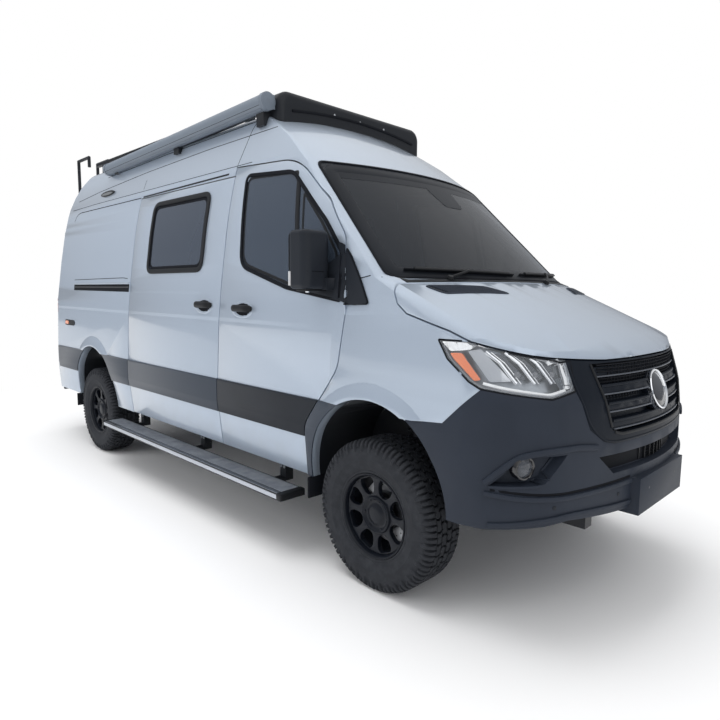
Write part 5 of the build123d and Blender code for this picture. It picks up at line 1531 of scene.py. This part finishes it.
def make_roof():
    """Fairing bolts and foot, roof ribs, rack fittings, awning seams and the roof unit's louvres."""
    on_fairing = from_front(skin_of("roof_rack"), 0.0)
    bolt = knob(((0, 0.004), (0.005, 0.004), (0.0085, 0.0015), (0.0085, -0.003)), 16)
    frames = [facing(*on_fairing(across, 2.772)) for across in (-0.227, 0.023, 0.273)]
    studs("fairing_bolts", bolt, ALUMINIUM, frames)
    foot = [(spot(-1.117, y / 10, 2.766 - 0.00125 * y * y), Vector((1, 0, 0))) for y in range(-6, 7)]
    piece_from("fairing_foot", ribbon(foot, 0.016, 0.006), SEAL)

    on_roof = from_top(skin_of("body_shell"))
    lines = [line_on(on_roof, ((-1.55, y), (-4.4, y)), 0.1) for y in (-0.48, -0.29, -0.1, 0.1, 0.29, 0.48)]
    piece_from("roof_ribs", joined(*(ribbon(line, 0.055, 0.006) for line in lines)), PAINT)
    lines = [[(spot(ahead, y, 2.85), Vector((0, 0, 1))) for y in (-0.575, 0.575)] for ahead in RACK_BARS]
    slots = [ribbon(line, 0.01, 0.0002, 0.002) for line in lines]
    piece_from("bar_slots", joined(*slots), SEAL)
    clamp = soft_box((-0.032, -0.014, -0.036), (0.032, 0.014, 0.002), 0.004)
    frames = [Matrix.Translation(spot(ahead, side * 0.588, 2.848)) for ahead in RACK_BARS for side in (-1, 1)]
    studs("bar_clamps", clamp, BLACK_PLASTIC, frames)
    rail_ends = (-4.38, -1.48)
    lines = [[(spot(x, side * 0.6205, 2.835), Vector((0, side, 0))) for x in rail_ends] for side in (-1, 1)]
    piece_from("rail_lines", joined(*(ribbon(line, 0.006, 0.0004, 0.002) for line in lines)), SEAL)

    # Awning: the lead rail along its lower edge, seams and end caps
    way = (AWNING_FRONT - AWNING_REAR).normalized()
    upward = way.cross(Vector((0, 1, 0))).normalized()
    upward = upward if upward.z > 0 else -upward
    outward = Vector((0, -1, 0))
    for label, angle, width, proud, finish in AWNING_LINES:
        normal = outward * cos(radians(angle)) + upward * sin(radians(angle))
        line = [
            (AWNING_REAR.lerp(AWNING_FRONT, share) + normal * 0.052, normal)
            for share in (0.016, 0.25, 0.5, 0.75, 0.984)
        ]
        piece_from(f"awning_{label}", ribbon(line, width, proud), finish)
    for label, place, turn in (("rear", AWNING_REAR, -way), ("front", AWNING_FRONT, way)):
        cap = knob(((0, 0.0), (0.04, -0.001), (0.052, -0.006), (0.0575, -0.014), (0.0575, -0.036)), 48)
        piece_from(
            f"awning_cap_{label}", moved(cap, facing(place + turn * 0.0004, turn, Vector((0, 1, 0)))),
            CASE_CAP,
        )

    # Roof unit: louvres at both ends and the cover's seam
    louvre = soft_box((-0.004, -0.2, -0.0035), (0.006, 0.2, 0.0035), 0.0015, 1)
    for label, ahead, sign in (("rear", UNIT_REAR, -1), ("front", UNIT_FRONT, 1)):
        first = Matrix.Translation(spot(ahead, 0, 2.815)) @ Matrix.Diagonal((sign, 1, 1, 1))
        rows = repeated(tidied(moved(louvre, first)), SEAL, 6, step=(0, 0, 0.018))
        piece_from(f"unit_louvres_{label}", rows, SEAL)
    corners = (
        (UNIT_REAR, -UNIT_HALF), (UNIT_FRONT, -UNIT_HALF), (UNIT_FRONT, UNIT_HALF), (UNIT_REAR, UNIT_HALF)
    )
    outline = rounded(corners, 0.082, 8)
    middle = spot(-3.63, 0, 0)
    seam = [(spot(x, y, 2.79), (spot(x, y, 0) - middle).normalized()) for x, y in outline]
    piece_from("unit_seam", ribbon(seam, 0.007, 0.0006, 0.002, closed=True), SEAL)


# The bright edge strip of a running board: outwards and up from its top outer edge
NOSING = (
    (-0.032, 0.0015), (-0.008, 0.0015), (0.002, -0.008), (0.002, -0.031), (-0.006, -0.0412),
    (-0.014, -0.0412), (-0.014, -0.003), (-0.032, -0.003),
)


BOARD_RIBS, RIB_PITCH = 12, 0.0108


def make_boards():
    """Running boards: grip surface, bright nosing, ribs, end caps and bracket bolts."""
    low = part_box("running_boards")[0]
    top = low[2] + 0.04
    grip = soft_box((AXLE_F - 3.215, -1.071, top - 0.004), (AXLE_F - 0.615, -0.932, top + 0.0008), 0.001, 1)
    pair("board_grip", grip, BLACK_PLASTIC)
    nosing = prism(NOSING, 0.0, 2.61)
    nosing.transform(Matrix.Translation((AXLE_F - 3.22, low[1], top)) @ Matrix.Rotation(-pi / 2, 4, "Z"))
    pair("board_nosing", nosing, BOARD_EDGE)
    rib = soft_box((AXLE_F - 3.214, -1.066, top - 0.003), (AXLE_F - 0.616, -1.0575, top + 0.0034), 0.0012, 1)
    pair("board_ribs", repeated(rib, GRIP, BOARD_RIBS, step=(0, RIB_PITCH, 0)), GRIP)
    for label, ahead, inward in (("rear", -3.23, 1), ("front", -0.6, -1)):
        xs = sorted((AXLE_F + ahead, AXLE_F + ahead + inward * 0.045))
        cap = soft_box(
            (xs[0] - 0.002, low[1] - 0.003, low[2] - 0.002), (xs[1] + 0.002, -0.922, top + 0.0045), 0.01
        )
        pair(f"board_cap_{label}", cap, BLACK_PLASTIC)
    bolt = knob(((0, 0.006), (0.008, 0.006), (0.01, 0.004), (0.01, -0.002)), 6)
    places = [
        (arm + dx, height) for arm in (-0.9, -1.9, -2.95) for dx in (-0.016, 0.016) for height in (0.44, 0.5)
    ]
    frames = [facing(spot(ahead, -0.8605, height), Vector((0, -1, 0))) for ahead, height in places]
    studs("arm_bolts", bolt, ALUMINIUM, frames, pair)


CUSHION_PRESSURE, CUSHION_FRAMES = 4.0, 20
BOX_MARGIN = 0.0005  # a cushion stays this far inside its box


def cushion(name, low, high, finish, swell=0.016, voxel=0.014, edge=0.05):
    start = [low[axis] + swell * 0.8 for axis in range(3)], [high[axis] - swell * 0.8 for axis in range(3)]
    block = bevelled(box_mesh(*start), edge, 4)
    mesh = with_modifiers(block, ("REMESH", {"mode": "VOXEL", "voxel_size": voxel}))
    rest = [vertex.co.copy() for vertex in mesh.vertices]
    holder = bpy.data.objects.new(name, mesh)
    bpy.context.scene.collection.objects.link(holder)
    cloth = holder.modifiers.new("cloth", "CLOTH")
    cloth.settings.uniform_pressure_force = CUSHION_PRESSURE
    cloth.settings.use_pressure = True
    cloth.settings.effector_weights.gravity = 0.0
    cloth.settings.quality = 4
    for step in range(1, CUSHION_FRAMES + 1):
        bpy.context.scene.frame_set(step)
    mesh = evaluated(holder)
    bpy.context.scene.frame_set(1)
    for vertex, place in zip(mesh.vertices, rest):
        push = vertex.co - place
        vertex.co = place + push * min(1.0, swell / max(push.length, 1e-6))
        vertex.co = [
            min(max(vertex.co[axis], low[axis] + BOX_MARGIN), high[axis] - BOX_MARGIN) for axis in range(3)
        ]
    mesh = with_modifiers(mesh, ("SUBSURF", {"levels": 1, "render_levels": 1}))
    piece = piece_from(name, mesh, finish, sharp=80)
    return piece


SEAT_HALF = 0.42
# Seat cushions: size, place ahead of the front axle and up, tilt in degrees
SEAT_CUSHIONS = (
    ("seat_base", (0.46, 0.47, 0.13), -1.035, 0.935, -3.5),
    ("seat_back", (0.12, 0.47, 0.56), -1.315, 1.235, -9.0),
    ("head_rest", (0.095, 0.27, 0.17), -1.345, 1.575, -6.0),
)


def tilted_cushion(name, size, place, tilt, finish):
    """A cushion of a size, turned about Y and set at a place."""
    piece = cushion(name, [-part / 2 for part in size], [part / 2 for part in size], finish)
    piece.data.transform(Matrix.Translation(place) @ Matrix.Rotation(radians(tilt), 4, "Y"))
    return piece


def make_seats():
    """Padded seats on their boxes, with hard backs."""
    seat_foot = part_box("front_seats")[0][2]
    for side, label in ((-1, "right"), (1, "left")):
        middle = side * SEAT_HALF
        for part, size, ahead, height, tilt in SEAT_CUSHIONS:
            tilted_cushion(f"{part}_{label}", size, spot(ahead, middle, height), tilt, CLOTH)
        box_low = spot(-1.315, middle - 0.225, seat_foot + 0.0005)
        box_high = spot(-0.865, middle + 0.225, 0.862)
        piece_from(f"seat_box_{label}", soft_box(box_low, box_high, 0.03), TRIM)
        shell = soft_box((-0.03, -0.235, -0.3), (0.01, 0.235, 0.32), 0.02)
        shell.transform(Matrix.Translation(spot(-1.375, middle, 1.2)) @ Matrix.Rotation(radians(-8), 4, "Y"))
        piece_from(f"seat_shell_{label}", shell, TRIM)
    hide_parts("front_seats")


def make_dash():
    """Dash screen, dials, air vents and the steering wheel."""
    screen = soft_box((-0.012, -0.14, -0.065), (0.012, 0.14, 0.065), 0.006)
    screen.transform(Matrix.Translation(spot(-0.455, 0.0, 1.335)) @ Matrix.Rotation(radians(-12), 4, "Y"))
    piece_from("dash_screen", screen, BLACK_GLOSS)
    dial = soft_box((-0.006, -0.15, -0.05), (0.006, 0.15, 0.05), 0.004)
    dial.transform(Matrix.Translation(spot(-0.425, SEAT_HALF, 1.405)) @ Matrix.Rotation(radians(-35), 4, "Y"))
    piece_from("dials", dial, BLACK_GLOSS)
    vent = knob(((0, 0.002), (0.02, 0.004), (0.034, 0.01), (0.04, 0.006), (0.042, -0.004)), 28)
    frames = [
        Matrix.Translation(spot(-0.452, y, 1.33)) @ Matrix.Rotation(radians(-90), 4, "Y")
        for y in (-0.78, -0.24, 0.24, 0.78)
    ]
    studs("air_vents", vent, BLACK_PLASTIC, frames)

    centre = spot(-0.56, SEAT_HALF, 1.29)
    axis = (spot(-0.44, SEAT_HALF, 1.21) - centre).normalized()
    at = facing(centre, -axis, Vector((0, 0, 1)))
    rim = tube(
        [(0.185 * cos(tau * i / 48), 0.185 * sin(tau * i / 48), 0) for i in range(48)], 0.0146, 16,
        closed=True,
    )
    hub = knob(((0, 0.014), (0.04, 0.012), (0.058, 0.004), (0.06, -0.016)), 40)
    spoke = soft_box((0.05, -0.015, -0.013), (0.176, 0.015, -0.003), 0.004)
    spokes = [moved(spoke, Matrix.Rotation(radians(turn), 4, "Z")) for turn in (0, 180, 270)]
    column = knob(((0, -0.016), (0.03, -0.018), (0.031, -0.1), (0.031, -0.145)), 24)
    wheel = piece_from(
        "steering_rim", moved(joined(rim, hub, *spokes, column), at), TRIM, BODY_OF["steering_wheel"]
    )
    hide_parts("steering_wheel")


def make_camper_fittings():
    """Bed with two mattresses, and the kitchen block with its doors, catches and sink."""
    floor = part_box("cabin_furniture")[0][2]
    bed_low, bed_high = spot(-4.6, -0.955, 1.022), spot(-3.152, 0.955, 1.045)
    platform = piece_from("bed_platform", soft_box(bed_low, bed_high, 0.006), BOARD)
    for label, rear, front in (("front", -3.86, -3.156), ("rear", -4.58, -3.87)):
        low, high = spot(rear, -0.93, 1.0455), spot(front, 0.93, 1.1095)
        cushion(f"mattress_{label}", low, high, MATTRESS, 0.01, 0.022, 0.03)
    piece_from("galley", soft_box(spot(-2.899, 0.332, floor), spot(-2.001, 0.88, 1.424), 0.006), LINING)
    worktop = soft_box(spot(-2.8995, 0.3305, 1.4245), spot(-2.0005, 0.885, 1.4498), 0.005)
    piece_from("worktop", worktop, BOARD)
    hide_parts("cabin_furniture")
    doors, knobs = [], []
    for column_x in (-2.89, -2.595, -2.3):
        for base, top_z in ((0.66, 1.02), (1.04, 1.4)):
            doors.append(
                soft_box(spot(column_x + 0.004, 0.3306, base), spot(column_x + 0.285, 0.345, top_z), 0.004)
            )
            knobs.append(facing(spot(column_x + 0.145, 0.3312, top_z - 0.05), Vector((0, -1, 0))))
    piece_from("cabinet_doors", joined(*doors), BOARD)
    catch = knob(((0, 0.0006), (0.012, 0.0006), (0.016, -0.002)), 20)
    studs("cabinet_catches", catch, STEEL, knobs)
    bowl = knob(((0.0, -0.0005), (0.15, -0.0004), (0.165, 0.0002), (0.172, 0.0002), (0.172, -0.004)), 40)
    piece_from("sink", moved(bowl, Matrix.Translation(spot(-2.3, 0.6, 1.4496))), DISC_STEEL)


def make_linings():
    """Door linings; those of the front doors have an armrest and a pocket."""
    inner = from_side(skin_of("front_door_right"), -0.3, -1)
    card = (
        (-1.37, 0.62), (-0.62, 0.62), (-0.5, 0.86), (-0.33, 1.16), (-0.3, 1.44), (-0.7, 1.5), (-1.2, 1.62),
        (-1.37, 1.62),
    )
    pair("door_lining", plate(rounded(card, 0.04), inner, 0.006), TRIM, FRONT_DOORS)
    rest = line_on(inner, ((-1.28, 1.16), (-0.66, 1.18)), 0.1)
    pair("door_armrest", ribbon(rest, 0.055, 0.045, 0.004), CLOTH, FRONT_DOORS)
    pocket = line_on(inner, ((-1.3, 0.72), (-0.66, 0.72)), 0.1)
    pair("door_pocket", ribbon(pocket, 0.1, 0.035, 0.004), TRIM, FRONT_DOORS)
    inside_rear = from_front(skin_of("rear_door_right"), -3.0)
    back_card = rounded(((-0.12, 0.72), (-0.78, 0.72), (-0.78, 1.46), (-0.12, 1.46)), 0.05)
    pair("rear_lining", plate(back_card, inside_rear, 0.006, 0.1), LINING, REAR_DOORS)


COIL_TURNS, COIL_STEPS, COIL_RADIUS, COIL_HEIGHTS = 7, 16, 0.058, (0.6, 0.9)


def make_underside():
    """Exhaust, shafts, tank, springs and dampers under the floor."""
    pipe = rounded_path(
        (spot(0.15, -0.25, 0.42), spot(-0.6, -0.25, 0.4), spot(-1.2, -0.3, 0.4), spot(-2.0, -0.3, 0.4)), 0.12
    )
    silencer = knob(((0, 0.3), (0.09, 0.295), (0.105, 0.27), (0.105, -0.27), (0.09, -0.295)), 32)
    silencer.transform(
        Matrix.Translation(spot(-2.25, -0.27, 0.425))
        @ Matrix.Rotation(radians(90), 4, "Y")
        @ Matrix.Diagonal((0.75, 1.3, 1, 1))
    )
    tail = rounded_path((spot(-2.5, -0.3, 0.42), spot(-3.2, -0.3, 0.42), spot(-3.35, -0.32, 0.4)), 0.08)
    exhaust = joined(tube(pipe, 0.032), silencer, tube(tail, 0.03))
    piece_from("exhaust", exhaust, DISC_STEEL)
    shaft = tube((spot(-0.2, 0.05, 0.43), spot(-3.5, 0.0, 0.41)), 0.038, 20)
    joint = knob(((0, 0.04), (0.05, 0.038), (0.062, 0.01), (0.062, -0.01), (0.05, -0.038)), 20)
    joint.transform(Matrix.Rotation(radians(90), 4, "Y"))
    places = [spot(x, 0.05 * (1 + x / 3.6), z) for x, z in ((-0.25, 0.43), (-1.9, 0.42), (-3.45, 0.41))]
    joints = [moved(joint, Matrix.Translation(place)) for place in places]
    piece_from("drive_shaft", joined(shaft, *joints), STEEL)
    tank = soft_box(spot(-1.75, 0.48, 0.36), spot(-0.75, 0.8, 0.555), 0.045, 4)
    piece_from("fuel_tank", tank, BLACK_PLASTIC)
    case = soft_box(spot(-0.55, -0.16, 0.36), spot(0.05, 0.19, 0.555), 0.05, 4)
    piece_from("gear_case", case, STEEL)
    coil, (low, high) = [], COIL_HEIGHTS
    for step in range(COIL_TURNS * COIL_STEPS):
        angle = tau * step / COIL_STEPS
        height = low + (high - low) * step / (COIL_TURNS * COIL_STEPS)
        coil.append(spot(COIL_RADIUS * cos(angle), -0.6 + COIL_RADIUS * sin(angle), height))
    pair("front_coil", tube(coil, 0.007, 8), BLACK_PAINT)
    damper = tube((spot(-3.78, -0.46, 0.32), spot(-3.78, -0.46, 0.56)), 0.026, 16)
    pair("rear_damper", damper, BLACK_PAINT)


def make_engine_top():
    """What shows under the bonnet: the engine's cover, a hose and the battery."""
    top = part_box("engine")[1][2]
    cover = soft_box(spot(0.32, -0.26, top - 0.03), spot(0.76, 0.26, top + 0.035), 0.02, 3)
    piece_from("engine_cover", cover, BLACK_PLASTIC)
    rib = soft_box(spot(0.36, -0.2, top + 0.033), spot(0.72, -0.19, top + 0.04), 0.003, 1)
    piece_from("cover_ribs", repeated(rib, BLACK_PLASTIC, 6, step=(0, 0.078, 0)), BLACK_PLASTIC)
    hose = rounded_path(
        (
            spot(0.3, 0.28, top + 0.01), spot(0.22, 0.32, top + 0.05), spot(0.14, 0.2, top + 0.05),
            spot(0.14, -0.1, top + 0.04),
        ),
        0.07,
    )
    piece_from("air_hose", tube(hose, 0.028, 16), SEAL)
    battery = soft_box(spot(0.34, -0.44, top - 0.12), spot(0.6, -0.29, top + 0.02), 0.008)
    piece_from("battery", battery, BLACK_PLASTIC)


# ---------------------------------------------------------------- solids with finishes

PANEL_EDGE, EDGE = 0.0022, 0.003  # widths of the small bevels of painted panels and of other parts
PAINTED = (
    "sliding_door", "front_door_right", "front_door_left", "rear_door_right", "rear_door_left", "bonnet"
)


def on_awning_arm(place, _):
    """Off the round case, so on one of the arms that carry it."""
    way = (AWNING_FRONT - AWNING_REAR).normalized()
    return (place - AWNING_REAR).cross(way).length > 0.057


def on_inside(place, normal):
    """On the load space's inner walls or under its roof."""
    ahead = place.x - AXLE_F
    wall = place.y * normal.y < -0.2 * abs(place.y) and abs(place.y) < 0.955 and place.z > 0.72
    return -4.7 < ahead < -0.45 and (wall or (normal.z < -0.5 and place.z > 2.3))


def on_handle(place):
    """On the plain grip of a front door, which the shaped one replaces."""
    return -1.32 < place.x - AXLE_F < -1.0 and 1.36 < place.z < 1.51


def dress_solids():
    """Finishes for the solids that no other piece stands for."""
    dressed("body_shell", PAINT, PANEL_EDGE, other=(LINING, on_inside))
    for node in PAINTED:
        dressed(node, PAINT, PANEL_EDGE)
    for node in ("front_glass_right", "front_glass_left"):
        dressed(node, GLASS)
    for node in ("rear_glass_right", "rear_glass_left", "side_windows"):
        dressed(node, CAMPER_GLASS)
    dressed("windscreen", SCREEN_GLASS)
    for node in ("front_bumper", "rear_bumper"):
        dressed(node, PLASTIC, EDGE)
    dressed("grille", SURROUND, EDGE)
    dressed("cladding", BAND, EDGE)
    for node in ("front_trim_right", "front_trim_left"):
        dressed(node, TRIM_PLASTIC, EDGE, without=on_handle)
    dressed("mud_flaps", SEAL, EDGE)
    dressed("roof_rack", BLACK_PAINT, EDGE)
    dressed("ladder", BLACK_PAINT)
    dressed("tail_lamps", RED_LENS, EDGE)
    dressed("running_boards", BLACK_PAINT, 0.006)
    dressed("awning", CASE_GREY, 0.008, other=(BLACK_PAINT, on_awning_arm))
    dressed("air_conditioner", WHITE_COVER, 0.004)
    dressed("chassis", BLACK_PAINT)
    for node in ("engine", "front_subframe", "rear_axle", "knuckle_right", "knuckle_left"):
        dressed(node, STEEL, EDGE)
    dressed("dashboard", TRIM, 0.02)


# ---------------------------------------------------------------- stage


def make_stage():
    """Camera, world, lamps and the pale floor."""
    scene = bpy.context.scene
    scene.view_settings.view_transform = "Standard"
    camera = bpy.data.cameras.new("camera")
    camera.sensor_width = CAMERA_SENSOR
    camera.lens = CAMERA_LENS
    camera.clip_end = 200.0
    holder = bpy.data.objects.new("camera", camera)
    turn = Matrix.Rotation(radians(CAMERA_YAW), 4, "Z") @ Matrix.Rotation(radians(90 - CAMERA_PITCH), 4, "X")
    roll = Matrix.Rotation(radians(CAMERA_ROLL), 4, "Z")
    holder.matrix_world = Matrix.Translation(CAMERA_PLACE) @ turn @ roll
    scene.collection.objects.link(holder)
    scene.camera = holder

    world = bpy.data.worlds.new("studio")
    scene.world = world
    world.use_nodes = True
    nodes, links = world.node_tree.nodes, world.node_tree.links
    nodes.clear()
    output = nodes.new("ShaderNodeOutputWorld")
    mix = nodes.new("ShaderNodeMixShader")
    soft = nodes.new("ShaderNodeBackground")
    plain = nodes.new("ShaderNodeBackground")
    path = nodes.new("ShaderNodeLightPath")
    place = nodes.new("ShaderNodeTexCoord")
    split = nodes.new("ShaderNodeSeparateXYZ")
    ramp = nodes.new("ShaderNodeValToRGB")
    links.new(place.outputs["Generated"], split.inputs[0])
    links.new(split.outputs["Z"], ramp.inputs[0])
    ramp.color_ramp.elements[0].position = 0.0
    ramp.color_ramp.elements[0].color = (0.32, 0.34, 0.38, 1)
    ramp.color_ramp.elements[1].position = 0.75
    ramp.color_ramp.elements[1].color = (1.0, 1.0, 1.0, 1)
    ramp.color_ramp.elements.new(0.14).color = (0.58, 0.61, 0.66, 1)
    links.new(ramp.outputs[0], soft.inputs[0])
    soft.inputs[1].default_value = 0.68
    plain.inputs[0].default_value = (1, 1, 1, 1)
    links.new(path.outputs["Is Camera Ray"], mix.inputs[0])
    links.new(soft.outputs[0], mix.inputs[1])
    links.new(plain.outputs[0], mix.inputs[2])
    links.new(mix.outputs[0], output.inputs[0])

    def area(name, place, aim, size, power):
        light = bpy.data.lights.new(name, "AREA")
        light.shape = "RECTANGLE"
        light.size, light.size_y = size
        light.energy = power
        lamp = bpy.data.objects.new(name, light)
        scene.collection.objects.link(lamp)
        lamp.visible_glossy = name == "front"
        aimed = (Vector(aim) - Vector(place)).to_track_quat("-Z", "Y").to_matrix().to_4x4()
        lamp.matrix_world = Matrix.Translation(place) @ aimed

    area("overhead", (-0.5, 0.0, 8.5), (0, 0, 0), (10, 6), 680)
    area("side", (-4.5, -9.0, 4.0), (-1.5, 0, 1.2), (9, 4), 265)
    area("front", (10.0, -3.0, 7.0), (1.5, 0, 1.2), (13, 8), 225)

    floor = mesh_of([(-60, -60, 0), (60, -60, 0), (60, 60, 0), (-60, 60, 0)], [(0, 1, 2, 3)])
    ground = bpy.data.objects.new("floor", floor)
    scene.collection.objects.link(ground)
    surface = Finish("floor_pale", (0.95, 0.95, 0.955), 0.9)
    tree = surface.tree
    glow = tree.nodes.new("ShaderNodeEmission")
    white_mix = tree.nodes.new("ShaderNodeMixShader")
    distance = surface.node(
        "ShaderNodeVectorMath", {"operation": "LENGTH"}, {0: surface.place((0.16, 0.26, 1))}, output="Value"
    )
    far = surface.ramp(distance, 0.42, 1.0)
    tree.links.new(far.socket, white_mix.inputs[0])
    tree.links.new(surface.shader.outputs[0], white_mix.inputs[1])
    tree.links.new(glow.outputs[0], white_mix.inputs[2])
    tree.links.new(white_mix.outputs[0], tree.nodes["Material Output"].inputs[0])
    floor.materials.append(surface.material)


make_stage()
make_wheels()
dress_solids()
make_side()
make_mirrors()
make_headlamps()
make_grille()
make_bumper()
make_screen()
make_sails()
make_rear()
make_roof()
make_boards()
make_seats()
make_dash()
make_camper_fittings()
make_linings()
make_underside()
make_engine_top()
